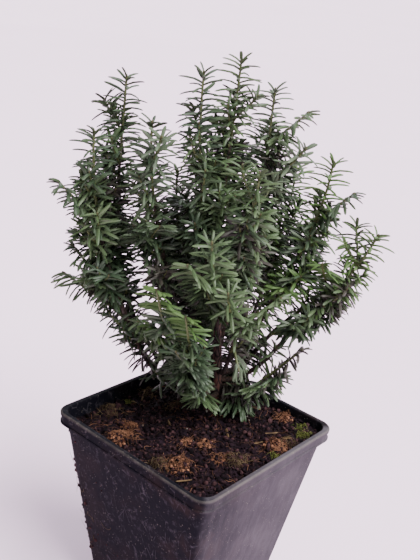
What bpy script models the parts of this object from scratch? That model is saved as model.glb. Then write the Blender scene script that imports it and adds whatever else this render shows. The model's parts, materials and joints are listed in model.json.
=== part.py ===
"""A young yew in a square nursery pot, as separate closed solids.

The pot is a tapered plastic shell with drainage holes, and the root ball fills
it to just under the rim. One stem leans out of the root ball, boughs leave it at
several heights, and each bough carries one mass of leafy shoots. Sizes are in
metres, +Z is up, the pot's sides run along X and Y, and the origin is the centre
of the pot's flat underside.
"""
import math
import random
from collections import namedtuple

import bmesh
import bpy
import numpy as np
from mathutils import Matrix, Vector
from mathutils.geometry import interpolate_bezier

MM = 0.001
GAP = 0.3 * MM
UP = Vector((0.0, 0.0, 1.0))
GOLDEN_ANGLE = math.radians(137.5)

# Pot
POT_HEIGHT = 120 * MM
RIM_SIDE = 110 * MM
RIM_CORNER = 8 * MM
BAND_HEIGHT = 7 * MM
BAND_PROUD = 2 * MM
BASE_SIDE = 70 * MM
BASE_CORNER = 6 * MM
WALL = 1 * MM
FLOOR = 1.2 * MM
CORNER_STEPS = 4
DRAIN_COUNT = 8
DRAIN_RADIUS = 4 * MM
DRAIN_RING = 24 * MM
DRAIN_SIDES = 12

# Root ball: its top slopes up along +X and lies level round the stem
SOIL_LEVEL = 114 * MM
SOIL_SLOPE = 0.046
SOIL_LUMP = 0.7 * MM
SOIL_LUMP_PITCH = 17 * MM
SOIL_RINGS = 5
LEVEL_REACH = 9 * MM
SLOPE_REACH = 22 * MM

# Stem, which leaves the root ball at the collar
COLLAR = Vector((-8 * MM, 25.7 * MM, SOIL_LEVEL))
STEM_HEIGHT = 70 * MM
STEM_LEAN_BEARING = 219
STEM_LEAN = 6 * MM
STEM_SIDES = 10
STEM_STATIONS = (0.0, 0.03, 0.07, 0.14, 0.31, 0.51, 0.71, 0.86, 1.0)
FLARE_RADIUS = 5.0 * MM
FLARE_HEIGHT = 10 * MM
STEM_FOOT_RADIUS = 3.0 * MM
STEM_TOP_RADIUS = 2.0 * MM

# Boughs
BOUGH_SIDES = 6
BOUGH_POINTS = 8
BOUGH_THICKNESS = 0.62
THICKEST_BOUGH = 2.0 * MM
THINNEST_BOUGH = 1.3 * MM
BOUGH_TAPER = 0.7
BOUGH_COLLAR = 1.0 * MM
# How far a bough first runs straight out, as a share of its reach or of half its rise,
# and how far out the pull that turns it upwards lies
BOUGH_OUTSET = 0.3
BOUGH_RISE_SHARE = 0.5
BOUGH_TURN = 0.75

# Leaders: each curve's pulls are a share of its span. One that runs out by less than the
# steep share of its span ends upright, and one that runs out by more than the low share
# keeps its slant. Side leaders leave the main one as high up as leaves them steep enough.
LEADER_POINTS = 6
SIDE_LEADER_POINTS = 5
LEADER_TIP_RADIUS = 0.7 * MM
LEADER_FIT = 0.95
LEADER_PULL = 0.33
LEADER_STEEP = 0.3
LEADER_LOW = 0.7
APEX_REACH = 7 * MM
FORK_SHARES = [0.05 * step for step in range(1, 16)]
FORK_STEEPNESS = 1.1
FORK_CARRY = 0.5
FORK_THICKNESS = 0.85

# Twigs: the rule's numbers are spacings and lengths, then how a twig leans and bends
SHOOT_SIDES = 3
TWIG_RADIUS = 0.9 * MM
TWIG_TIP_RADIUS = 0.6 * MM
FIRST_TWIG = 26 * MM
LAST_TWIG = 5 * MM
TWIG_SPACING = 14 * MM
TWIG_SPREAD = 0.15
TWIG_SHORTEST = 15 * MM
TWIG_GROWTH = 0.3
TWIG_LONGEST = 31 * MM
TWIG_ANGLE = math.radians(48)
TWIG_LIFT = 0.5
TWIG_INWARD = 0.3
TWIG_BEND = 0.55
TWIG_TURN_UP = 0.35
TWIG_FITS = (1.0, 0.75, 0.55)
TWIG_ROOT = 2.5 * MM
TEST_SPACING = 2 * MM

# Needles
NEEDLE_LENGTH = 15 * MM
NEEDLE_WIDTH = 3.6 * MM
NEEDLE_THICKNESS = 0.7 * MM
NEEDLE_WIDEST = 0.25
NEEDLE_SINK = 0.2 * MM
NEEDLE_LIFT = 0.25
NEEDLE_SPACING = 10 * MM
NEEDLE_STEM_LENGTH = 62 * MM
NEEDLE_LIFT_BASE = math.radians(62)
NEEDLE_LIFT_TIP = math.radians(26)
NEEDLE_FULL_LIFT = 30 * MM
NEEDLE_FITS = (1.0, 0.75)
NEEDLE_TESTS = (0.3, 0.55, 0.8, 1.0)
TUFT_COUNT = 2
TUFT_DEPTH = 0.8 * MM

# Room
SOIL_CLEARANCE = 2 * MM
RIM_CLEARANCE = 1.5 * MM
SPACE_MARGIN = 0.5 * MM
SEED = 13
MOST_DRAWS = 12
TOUCH = 0.0005 * MM
NUDGE = 0.01 * MM
FIRST_SIDE = Vector((1.0, 0.3, 0.2))

# A place on the plant: bearing from +X in degrees, then millimetres out from the collar
# and above the root ball.
Place = namedtuple("Place", "bearing reach height")

# A bough: what it leaves, where on that (millimetres up the stem, or a fraction of
# another bough), and where it ends. A low value of rise keeps it near the root ball
# for longer.
Bough = namedtuple("Bough", "parent leaves end rise")

BOUGHS = {
    "left": Bough("stem", 6, Place(223, 52, 44), 0.20),
    "left_tall": Bough("left", 0.62, Place(214, 57, 62), 0.50),
    "left_inner": Bough("stem", 26, Place(229, 30, 66), 0.50),
    "left_back": Bough("stem", 34, Place(192, 24, 62), 0.50),
    "centre_left": Bough("stem", 60, Place(236, 15, 84), 0.55),
    "centre_top": Bough("stem", 70, Place(205, 10, 92), 0.60),
    "centre_right": Bough("stem", 50, Place(92, 10, 78), 0.55),
    "centre_front": Bough("stem", 56, Place(315, 13, 80), 0.55),
    "right_upper": Bough("stem", 30, Place(40, 22, 66), 0.50),
    "right_outer": Bough("stem", 18, Place(33, 30, 44), 0.45),
    "right_low": Bough("stem", 22, Place(56, 24, 42), 0.50),
    "right_foot": Bough("stem", 7, Place(12, 18, 17), 0.50),
    "front_high": Bough("stem", 43, Place(290, 18, 66), 0.50),
    "front_left": Bough("stem", 13, Place(260, 26, 32), 0.45),
    "front_low": Bough("stem", 9, Place(285, 20, 20), 0.45),
    "front_right": Bough("stem", 24, Place(322, 18, 46), 0.50),
    "back_left": Bough("stem", 19, Place(165, 28, 44), 0.45),
    "back": Bough("stem", 38, Place(131, 17, 66), 0.50),
    "back_right": Bough("stem", 12, Place(98, 26, 40), 0.45),
    "back_low": Bough("stem", 7, Place(140, 22, 20), 0.45),
}

# The tips of the upright leaders of each mass, the one that carries on from its
# bough first.
LEADERS = {
    "left": (Place(228, 79, 157), Place(232, 97, 131), Place(224, 89, 93), Place(218, 95, 73),
             Place(226, 85, 133)),
    "left_tall": (Place(212, 67, 183), Place(209, 81, 169)),
    "left_inner": (Place(233, 51, 165), Place(250, 50, 160), Place(235, 50, 92)),
    "left_back": (Place(186, 44, 133), Place(200, 58, 120)),
    "centre_left": (Place(236, 28, 191),),
    "centre_top": (Place(186, 11, 198), Place(74, 3, 181)),
    "centre_right": (Place(97, 19, 184), Place(51, 30, 175), Place(28, 30, 159)),
    "centre_front": (Place(318, 36, 151), Place(343, 27, 144), Place(303, 28, 152)),
    "right_upper": (Place(39, 44, 153), Place(31, 58, 139)),
    "right_outer": (Place(36, 74, 118), Place(48, 64, 119), Place(39, 56, 111)),
    "right_low": (Place(46, 68, 88), Place(25, 53, 77), Place(22, 47, 101)),
    "right_foot": (Place(21, 46, 51), Place(32, 34, 22)),
    "front_high": (Place(293, 48, 117), Place(284, 57, 105)),
    "front_left": (Place(271, 61, 90), Place(249, 56, 62)),
    "front_low": (Place(287, 58, 80), Place(282, 56, 58), Place(284, 49, 41)),
    "front_right": (Place(306, 50, 93), Place(343, 46, 89), Place(326, 33, 39)),
    "back_left": (Place(167, 56, 118), Place(183, 62, 96), Place(164, 63, 60)),
    "back": (Place(140, 51, 140), Place(118, 41, 158)),
    "back_right": (Place(96, 55, 138), Place(79, 62, 112), Place(96, 67, 72)),
    "back_low": (Place(144, 64, 84), Place(117, 66, 96), Place(127, 58, 48)),
}

# Base colour and roughness of each material
FINISHES = {
    "pot_plastic": ((0.022, 0.023, 0.026), 0.55),
    "root_ball_peat": ((0.055, 0.032, 0.020), 0.95),
    "stem_bark": ((0.150, 0.080, 0.055), 0.80),
    "bough_bark": ((0.130, 0.085, 0.050), 0.75),
    "yew_needles": ((0.045, 0.085, 0.030), 0.50),
}
SHARP_EDGE = math.radians(35)


def spot(place):
    """Return a Place as a point."""
    angle = math.radians(place.bearing)
    return COLLAR + Vector((place.reach * math.cos(angle), place.reach * math.sin(angle), place.height)) * MM


def smooth_step(value):
    """Return a value eased from 0 to 1."""
    value = min(max(value, 0.0), 1.0)
    return value * value * (3.0 - 2.0 * value)


def material(name):
    """Return one of the plain materials."""
    colour, roughness = FINISHES[name]
    made = bpy.data.materials.new(name)
    made.use_nodes = True
    shader = made.node_tree.nodes["Principled BSDF"]
    shader.inputs["Base Color"].default_value = (*colour, 1.0)
    shader.inputs["Roughness"].default_value = roughness
    shader.inputs["Metallic"].default_value = 0.0
    return made


def mesh_object(name, shape, finish=None):
    """Turn a bmesh into an object of the scene."""
    mesh = bpy.data.meshes.new(name)
    shape.to_mesh(mesh)
    shape.free()
    made = bpy.data.objects.new(name, mesh)
    bpy.context.scene.collection.objects.link(made)
    if finish is not None:
        mesh.materials.append(finish)
    return made


def rounded_square(shape, half, corner, height):
    """Add a square loop with round corners; height is a number or a function of x and y."""
    level = height if callable(height) else lambda x, y: height
    points = []
    for quarter in range(4):
        turn = math.radians(90 * quarter + 45)
        centre = Vector((math.cos(turn), math.sin(turn))) * (half - corner) * math.sqrt(2)
        for step in range(CORNER_STEPS + 1):
            angle = math.radians(90 * quarter + 90 * step / CORNER_STEPS)
            points.append((centre.x + corner * math.cos(angle), centre.y + corner * math.sin(angle)))
    return [shape.verts.new((x, y, level(x, y))) for x, y in points]


def loft(shape, loops):
    """Skin neighbouring loops of equal length, and cap the first and the last."""
    for first, second in zip(loops, loops[1:]):
        for index in range(len(first)):
            shape.faces.new((first[index - 1], first[index], second[index], second[index - 1]))
    shape.faces.new(loops[0])
    shape.faces.new(loops[-1])
    bmesh.ops.recalc_face_normals(shape, faces=shape.faces)


def body_half(height):
    """Half the outer side of the pot's body at a height."""
    top = RIM_SIDE / 2 - BAND_PROUD
    return BASE_SIDE / 2 + (top - BASE_SIDE / 2) * height / POT_HEIGHT


def corner_radius(height):
    """Outer corner radius of the pot's body at a height."""
    return BASE_CORNER + (RIM_CORNER - BAND_PROUD / 2 - BASE_CORNER) * height / POT_HEIGHT


def build_pot():
    """The tapered shell with its turned-down rim band and its drainage holes."""
    shelf = POT_HEIGHT - WALL
    band_foot = POT_HEIGHT - BAND_HEIGHT
    shape = bmesh.new()
    loft(shape, [
        rounded_square(shape, body_half(0), corner_radius(0), 0),
        rounded_square(shape, body_half(shelf), corner_radius(shelf), shelf),
        rounded_square(shape, RIM_SIDE / 2 - WALL, RIM_CORNER - WALL, shelf),
        rounded_square(shape, RIM_SIDE / 2 - WALL, RIM_CORNER - WALL, band_foot),
        rounded_square(shape, RIM_SIDE / 2, RIM_CORNER, band_foot),
        rounded_square(shape, RIM_SIDE / 2, RIM_CORNER, POT_HEIGHT),
        rounded_square(shape, body_half(POT_HEIGHT) - WALL, corner_radius(POT_HEIGHT) - WALL, POT_HEIGHT),
        rounded_square(shape, body_half(FLOOR) - WALL, corner_radius(FLOOR) - WALL, FLOOR),
    ])
    pot = mesh_object("pot", shape, material("pot_plastic"))

    drills = bmesh.new()
    for index in range(DRAIN_COUNT):
        angle = math.tau * (index + 0.5) / DRAIN_COUNT
        middle = Vector((math.cos(angle), math.sin(angle), 0)) * DRAIN_RING
        bmesh.ops.create_cone(drills, cap_ends=True, segments=DRAIN_SIDES, radius1=DRAIN_RADIUS,
                              radius2=DRAIN_RADIUS, depth=4 * FLOOR, matrix=Matrix.Translation(middle))
    cutter = mesh_object("drain_cutter", drills)
    cutter.hide_render = True
    cutter.display_type = "WIRE"
    cut = pot.modifiers.new("drain_holes", "BOOLEAN")
    cut.operation = "DIFFERENCE"
    cut.object = cutter
    return pot


def soil_height(x, y):
    """Height of the root ball's top at a point."""
    out = math.hypot(x - COLLAR.x, y - COLLAR.y)
    lumps = math.sin(math.tau * x / SOIL_LUMP_PITCH) * math.cos(math.tau * y / SOIL_LUMP_PITCH)
    share = smooth_step((out - LEVEL_REACH) / (SLOPE_REACH - LEVEL_REACH))
    return SOIL_LEVEL + share * (SOIL_SLOPE * (x - COLLAR.x) + SOIL_LUMP * (lumps - 1))


def build_root_ball():
    """The root ball that fills the pot, clear of its walls and floor."""
    foot = FLOOR + GAP
    bottom_half = body_half(foot) - WALL - GAP
    top_half = body_half(SOIL_LEVEL - SLOPE_REACH * SOIL_SLOPE) - WALL - 2 * GAP
    top_corner = corner_radius(SOIL_LEVEL) - WALL
    shape = bmesh.new()
    edge = rounded_square(shape, top_half, top_corner, soil_height)
    loops = [rounded_square(shape, bottom_half, corner_radius(foot) - WALL, foot), edge]
    for ring in range(1, SOIL_RINGS + 1):
        inward = (ring / SOIL_RINGS) * (1 - LEVEL_REACH / top_half)
        places = [corner.co.lerp(COLLAR, inward) for corner in edge]
        loops.append([shape.verts.new((place.x, place.y, soil_height(place.x, place.y))) for place in places])
    loft(shape, loops)
    return mesh_object("root_ball", shape, material("root_ball_peat"))


class Stem:
    """A tapering shoot: points along its middle and the radius at each."""

    def __init__(self, points, radii):
        self.points = [point.copy() for point in points]
        self.radii = list(radii)
        self.along = [0.0]
        for first, second in zip(self.points, self.points[1:]):
            self.along.append(self.along[-1] + (second - first).length)
        self.length = self.along[-1]

    def at(self, distance):
        """Return the point, the direction and the radius at a distance from the foot."""
        distance = min(max(distance, 0.0), self.length)
        last = len(self.points) - 2
        index = next((i for i in range(last) if distance <= self.along[i + 1]), last)
        span = self.along[index + 1] - self.along[index]
        share = (distance - self.along[index]) / span
        step = self.points[index + 1] - self.points[index]
        radius = self.radii[index] + (self.radii[index + 1] - self.radii[index]) * share
        return self.points[index] + step * share, step.normalized(), radius

    def samples(self, spacing):
        """Return points and radii at an even spacing along the shoot."""
        count = max(int(self.length / spacing), 2)
        picked = [self.at(self.length * i / count) for i in range(count + 1)]
        return [point for point, _, _ in picked], [radius for _, _, radius in picked]


def taper(count, first, last):
    """Return evenly tapering radii."""
    return [first + (last - first) * i / (count - 1) for i in range(count)]


def across(direction, hint):
    """Return the part of hint that stands square to direction, at unit length."""
    square = hint - direction * hint.dot(direction)
    if square.length < 1e-6:
        square = direction.orthogonal()
    return square.normalized()


def facing(direction, side, place):
    """Return the placing whose Z is direction and whose X is side."""
    turned = Matrix((side, direction.cross(side), direction)).transposed()
    return Matrix.Translation(place) @ turned.to_4x4()


def add_tube(shape, stem, sides):
    """Skin a shoot with rings of a few sides, capped at both ends."""
    side = across(stem.at(0.0)[1], FIRST_SIDE)
    loops = []
    for point, distance, radius in zip(stem.points, stem.along, stem.radii):
        before = stem.at(distance - NUDGE)[1]
        after = stem.at(distance + NUDGE)[1]
        direction = (before + after).normalized()
        side = across(direction, side)
        place = facing(direction, side, point)
        loops.append(bmesh.ops.create_circle(shape, segments=sides, radius=radius, matrix=place)["verts"])
    loft(shape, loops)


def tube_object(name, stem, sides, finish=None):
    """Make a shoot's solid."""
    shape = bmesh.new()
    add_tube(shape, stem, sides)
    return mesh_object(name, shape, finish)


def grow_stem():
    """The main stem, from its flat cut up to the fork."""
    lean = math.radians(STEM_LEAN_BEARING)
    points = []
    radii = []
    for station in STEM_STATIONS:
        height = max(station * STEM_HEIGHT, GAP)
        out = STEM_LEAN * smooth_step(station)
        points.append(COLLAR + Vector((out * math.cos(lean), out * math.sin(lean), height)))
        flare = max(1 - height / FLARE_HEIGHT, 0.0) ** 2
        plain = STEM_FOOT_RADIUS + (STEM_TOP_RADIUS - STEM_FOOT_RADIUS) * height / STEM_HEIGHT
        radii.append(plain + (FLARE_RADIUS - STEM_FOOT_RADIUS) * flare)
    return Stem(points, radii)


def grow_bough(plan, parent):
    """A bough that leaves its parent squarely and turns upwards to its end."""
    end = spot(plan.end)
    on_stem = plan.parent == "stem"
    distance = plan.leaves * MM if on_stem else plan.leaves * parent.length
    foot, direction, thickness = parent.at(distance)
    radius = max(min(thickness * BOUGH_THICKNESS, THICKEST_BOUGH), THINNEST_BOUGH)
    if distance >= parent.length:
        outward = direction
        start = foot + direction * GAP
    else:
        outward = across(direction, end - foot)
        start = foot + outward * (parent.at(distance - radius)[2] + GAP)
    flat = Vector((end.x - start.x, end.y - start.y, 0.0))
    rise = end.z - start.z
    knee = start + outward * BOUGH_COLLAR
    first = knee + outward * max(flat.length, rise * BOUGH_RISE_SHARE) * BOUGH_OUTSET
    second = start + flat * BOUGH_TURN + UP * rise * plan.rise
    points = [start] + list(interpolate_bezier(knee, first, second, end, BOUGH_POINTS - 1))
    return Stem(points, taper(BOUGH_POINTS, radius, radius * BOUGH_TAPER))


def grow_leader(start, heading, tip, radius, count):
    """A leader that carries on in its first heading and ends upright, or at a low one's slant."""
    chord = tip - start
    pull = chord.length * LEADER_PULL
    outward = math.hypot(chord.x, chord.y) / chord.length
    slant = smooth_step((outward - LEADER_STEEP) / (LEADER_LOW - LEADER_STEEP))
    final = Vector((chord.x * slant, chord.y * slant, chord.z)).normalized()
    tip = tip - final * APEX_REACH
    points = interpolate_bezier(start, start + heading * pull, tip - final * pull, tip, count)
    return Stem(points, taper(count, radius, LEADER_TIP_RADIUS))


def grow_leaders(name, bough):
    """All the leaders of one mass: the first carries on from the bough, the rest leave it."""
    tips = [spot(place) for place in LEADERS[name]]
    end, heading, radius = bough.at(bough.length)
    main = grow_leader(end + heading * GAP, heading, tips[0], radius * LEADER_FIT, LEADER_POINTS)
    leaders = [main]
    for tip in tips[1:]:
        best = FORK_SHARES[0]
        for share in FORK_SHARES:
            point = main.at(main.length * share)[0]
            sideways = math.hypot(tip.x - point.x, tip.y - point.y)
            if tip.z - point.z > sideways * FORK_STEEPNESS:
                best = share
        foot, direction, thickness = main.at(main.length * best)
        aim = (tip - foot).normalized()
        heading = (direction * FORK_CARRY + aim).normalized()
        leaders.append(grow_leader(foot, heading, tip, thickness * FORK_THICKNESS, SIDE_LEADER_POINTS))
    return leaders


class Room:
    """Says whether a point of a shoot lies in its own mass's space, clear of all limbs."""

    def __init__(self, limbs, leaders):
        points, radii = [], []
        for limb in limbs:
            more_points, more_radii = limb.samples(MM)
            points += more_points
            radii += more_radii
        self.limb_points = np.array([tuple(point) for point in points])
        self.limb_radii = np.array(radii)
        self.leader_points = {}
        for name, stems in leaders.items():
            picked = [tuple(point) for stem in stems for point in stem.samples(MM)[0]]
            self.leader_points[name] = np.array(picked)

    def nearest(self, name, point):
        """Distance from a point to the leaders of one mass."""
        return np.sqrt(((self.leader_points[name] - point) ** 2).sum(axis=1).min())

    def holds(self, name, point, half_width):
        """Whether a point with this much shoot round it stays in the mass's own space."""
        x, y, z = point
        if z - half_width < soil_height(x, y) + SOIL_CLEARANCE:
            return False
        beside = max(abs(x), abs(y)) + half_width
        if z - half_width < POT_HEIGHT + RIM_CLEARANCE and beside > body_half(POT_HEIGHT) - WALL - RIM_CLEARANCE:
            return False
        place = np.array(tuple(point))
        clear = np.sqrt(((self.limb_points - place) ** 2).sum(axis=1)) - self.limb_radii
        if clear.min() < half_width + GAP:
            return False
        own = self.nearest(name, place)
        for other in self.leader_points:
            if other != name and self.nearest(other, place) < own + 2 * half_width + SPACE_MARGIN:
                return False
        return True


def grow_twigs(name, leaders, room, chance):
    """Side twigs of a mass, which leave each leader below its tip by a seeded rule."""
    twigs = []
    for leader in leaders:
        turn = chance.uniform(0, math.tau)
        below = FIRST_TWIG
        while below < leader.length - LAST_TWIG:
            foot, direction, _ = leader.at(leader.length - below)
            turn += GOLDEN_ANGLE
            side = across(direction, Vector((math.cos(turn), math.sin(turn), TWIG_LIFT)))
            away = Vector((foot.x - COLLAR.x, foot.y - COLLAR.y, 0.0))
            if side.dot(away) < -TWIG_INWARD * away.length:
                side = -side
            heading = direction * math.cos(TWIG_ANGLE) + side * math.sin(TWIG_ANGLE)
            length = min(TWIG_SHORTEST + TWIG_GROWTH * (below - FIRST_TWIG), TWIG_LONGEST)
            twig = fit_twig(name, foot, heading, length, room)
            if twig is not None:
                twigs.append(twig)
            below += TWIG_SPACING * chance.uniform(1 - TWIG_SPREAD, 1 + TWIG_SPREAD)
    return twigs


def fit_twig(name, foot, heading, length, room):
    """A twig that turns up a little, shortened until it keeps to its space, or None."""
    for share in TWIG_FITS:
        middle = foot + heading * length * share * TWIG_BEND
        end = middle + (heading + UP * TWIG_TURN_UP).normalized() * length * share * (1 - TWIG_BEND)
        twig = Stem([foot, middle, end], taper(3, TWIG_RADIUS, TWIG_TIP_RADIUS))
        outer = [point for point in twig.samples(TEST_SPACING)[0] if (point - foot).length > TWIG_ROOT]
        if all(room.holds(name, point, TWIG_RADIUS) for point in outer):
            return twig
    return None


def add_needle(shape, root, direction, flat, length):
    """A thin keeled blade of four faces whose root is sunk in its twig."""
    width = NEEDLE_WIDTH * math.sqrt(length / NEEDLE_LENGTH)
    size = Matrix.Diagonal((width / 2, NEEDLE_THICKNESS, length / 2, 1.0))
    place = facing(direction, flat, root + direction * (length / 2 - NEEDLE_SINK)) @ size
    shoulder = 2 * NEEDLE_WIDEST - 1
    corners = [shape.verts.new(place @ Vector(corner)) for corner in (
        (0, 0, -1), (-1, 1, shoulder), (1, 1, shoulder), (0, 0, 1))]
    for skipped in range(4):
        shape.faces.new([corners[index] for index in range(4) if index != skipped])
    bmesh.ops.recalc_face_normals(shape, faces=shape.faces)


def needle_fits(name, root, direction, length, room):
    """Whether a needle keeps to its mass's space all along."""
    for share in NEEDLE_TESTS:
        spread = NEEDLE_WIDTH / 2 * (1 - (share - NEEDLE_WIDEST) / (1 - NEEDLE_WIDEST))
        if not room.holds(name, root + direction * length * share, spread):
            return False
    return True


def place_needle(shapes, name, stem, below, turn, lift, room):
    """Add one needle at a distance below a shoot's tip, if it fits at full or lesser length."""
    root, direction, _ = stem.at(stem.length - below)
    side = across(direction, Vector((math.cos(turn), math.sin(turn), NEEDLE_LIFT)))
    heading = (direction * math.cos(lift) + side * math.sin(lift)).normalized()
    flat = across(heading, direction.cross(heading))
    for share in NEEDLE_FITS:
        if needle_fits(name, root, heading, NEEDLE_LENGTH * share, room):
            shape = bmesh.new()
            add_needle(shape, root, heading, flat, NEEDLE_LENGTH * share)
            shapes.append(shape)
            return


def needle_shapes(name, leaders, twigs, room, chance):
    """The needles of a mass: round the leaders, and a tuft at the end of every shoot."""
    shapes = []
    for stem in leaders + twigs:
        turn = chance.uniform(0, math.tau)
        for index in range(TUFT_COUNT):
            turn += math.tau / TUFT_COUNT
            place_needle(shapes, name, stem, TUFT_DEPTH, turn, NEEDLE_LIFT_TIP, room)
        below = NEEDLE_SPACING
        while below < min(stem.length - TEST_SPACING, NEEDLE_STEM_LENGTH):
            turn += GOLDEN_ANGLE
            share = min(below / NEEDLE_FULL_LIFT, 1.0)
            lift = NEEDLE_LIFT_TIP + (NEEDLE_LIFT_BASE - NEEDLE_LIFT_TIP) * share
            place_needle(shapes, name, stem, below, turn, lift, room)
            below += NEEDLE_SPACING
    return shapes


def keep_main_body(shape):
    """Drop every loose scrap but the largest body of a shape."""
    left = set(shape.verts)
    bodies = []
    while left:
        body, edge = set(), [left.pop()]
        while edge:
            corner = edge.pop()
            body.add(corner)
            for link in corner.link_edges:
                other = link.other_vert(corner)
                if other in left:
                    left.discard(other)
                    edge.append(other)
        bodies.append(body)
    bodies.sort(key=len)
    for body in bodies[:-1]:
        bmesh.ops.delete(shape, geom=list(body), context="VERTS")


def tidy_and_test(mesh):
    """Keep the main body of a joined mesh, and say whether it is clear of touching itself."""
    shape = bmesh.new()
    shape.from_mesh(mesh)
    keep_main_body(shape)
    shape.to_mesh(mesh)
    bmesh.ops.remove_doubles(shape, verts=shape.verts, dist=TOUCH)
    sound = all(len(edge.link_faces) == 2 for edge in shape.edges)
    shape.free()
    return sound


def join_shoots(mass, shapes):
    """Join the shapes to the mass's stem in one union, and say whether the result is sound."""
    shoots = bpy.data.collections.new("shoots")
    bpy.context.scene.collection.children.link(shoots)
    pieces = [mesh_object("shoot", shape) for shape in shapes]
    for piece in pieces:
        bpy.context.scene.collection.objects.unlink(piece)
        shoots.objects.link(piece)
    join = mass.modifiers.new("join", "BOOLEAN")
    join.operation = "UNION"
    join.operand_type = "COLLECTION"
    join.collection = shoots
    join.solver = "MANIFOLD"
    joined = bpy.data.meshes.new_from_object(mass.evaluated_get(bpy.context.evaluated_depsgraph_get()))
    mass.modifiers.remove(join)
    for piece in pieces:
        bpy.data.objects.remove(piece)
    bpy.data.collections.remove(shoots)
    mass.data = joined
    return tidy_and_test(joined)


def tube_shape(stem):
    """Make the three-sided solid of a leader or twig."""
    shape = bmesh.new()
    add_tube(shape, stem, SHOOT_SIDES)
    return shape


def build_mass(name, leaders, room, finish):
    """One mass: its leaders, twigs and needles joined into a single solid."""
    for draw in range(MOST_DRAWS):
        chance = random.Random(f"{SEED}-{name}-{draw}")
        twigs = grow_twigs(name, leaders, room, chance)
        shapes = [tube_shape(stem) for stem in leaders[1:] + twigs]
        shapes += needle_shapes(name, leaders, twigs, room, chance)
        mass = tube_object(f"foliage_{name}", leaders[0], SHOOT_SIDES, finish)
        if join_shoots(mass, shapes):
            return
        bpy.data.objects.remove(mass)
    raise ValueError(f"{name} touches itself in every draw")


def main():
    """Build the pot, the root ball, the stem, the boughs and their masses."""
    for old in list(bpy.data.objects):
        bpy.data.objects.remove(old)
    build_pot()
    build_root_ball()

    stem = grow_stem()
    limbs = {"stem": stem}
    for name, plan in BOUGHS.items():
        limbs[name] = grow_bough(plan, limbs[plan.parent])
    bark = material("stem_bark")
    young_bark = material("bough_bark")
    tube_object("stem", stem, STEM_SIDES, bark)
    for name in BOUGHS:
        tube_object(f"bough_{name}", limbs[name], BOUGH_SIDES, young_bark)

    leaders = {name: grow_leaders(name, limbs[name]) for name in BOUGHS}
    room = Room(list(limbs.values()), leaders)
    needles = material("yew_needles")
    for name in BOUGHS:
        build_mass(name, leaders[name], room, needles)

    for piece in bpy.context.scene.objects:
        if not piece.name.startswith("foliage"):
            piece.data.shade_smooth()
            piece.data.set_sharp_from_angle(angle=SHARP_EDGE)


main()
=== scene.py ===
"""A young yew in its square nursery pot: the looks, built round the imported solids.

The pot, the root ball, the bark and the whole crown are modelled here at life size.
The crown grows by the rule of the solids, from the same named places, and is carried
on to finer twigs and to single needles. Lengths are in metres and +Z is up.
"""
from __future__ import annotations

import json
import logging
import math
import random
from dataclasses import dataclass, field
from enum import Enum
from typing import Callable, Sequence

import bmesh
import bpy
import numpy as np
from mathutils import Matrix, Vector, noise
from mathutils.geometry import interpolate_bezier

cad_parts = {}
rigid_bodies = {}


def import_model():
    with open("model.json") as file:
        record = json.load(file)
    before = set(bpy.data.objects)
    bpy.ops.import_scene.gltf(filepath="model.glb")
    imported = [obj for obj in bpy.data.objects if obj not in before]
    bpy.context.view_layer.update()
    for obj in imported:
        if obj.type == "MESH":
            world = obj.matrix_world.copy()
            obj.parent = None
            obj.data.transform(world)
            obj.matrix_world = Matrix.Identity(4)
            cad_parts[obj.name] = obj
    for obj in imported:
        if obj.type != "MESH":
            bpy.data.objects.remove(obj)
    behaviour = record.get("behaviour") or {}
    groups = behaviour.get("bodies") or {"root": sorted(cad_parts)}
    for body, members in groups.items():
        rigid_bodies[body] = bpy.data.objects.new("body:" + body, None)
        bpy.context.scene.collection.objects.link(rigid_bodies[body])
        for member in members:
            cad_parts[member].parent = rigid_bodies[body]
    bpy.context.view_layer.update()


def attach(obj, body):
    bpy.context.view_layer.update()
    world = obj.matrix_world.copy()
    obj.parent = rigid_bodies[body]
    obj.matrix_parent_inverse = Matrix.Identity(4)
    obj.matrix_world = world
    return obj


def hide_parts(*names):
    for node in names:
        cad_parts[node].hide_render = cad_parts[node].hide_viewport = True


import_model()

LOG = logging.getLogger("yew")
MM = 0.001
UP = Vector((0.0, 0.0, 1.0))
GOLDEN_ANGLE = math.radians(137.5)
BODY = "root"


class Slot(Enum):
    """The record's material slots."""

    POT = "pot_plastic"
    PEAT = "root_ball_peat"
    BARK = "bark"
    NEEDLES = "needles"


class Tone(Enum):
    """The colours that the sprays of needles come in."""

    DEEP = "deep"
    MID = "mid"
    FRESH = "fresh"
    GREY = "grey"
    DULL = "dull"


# Shader expressions


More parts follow.
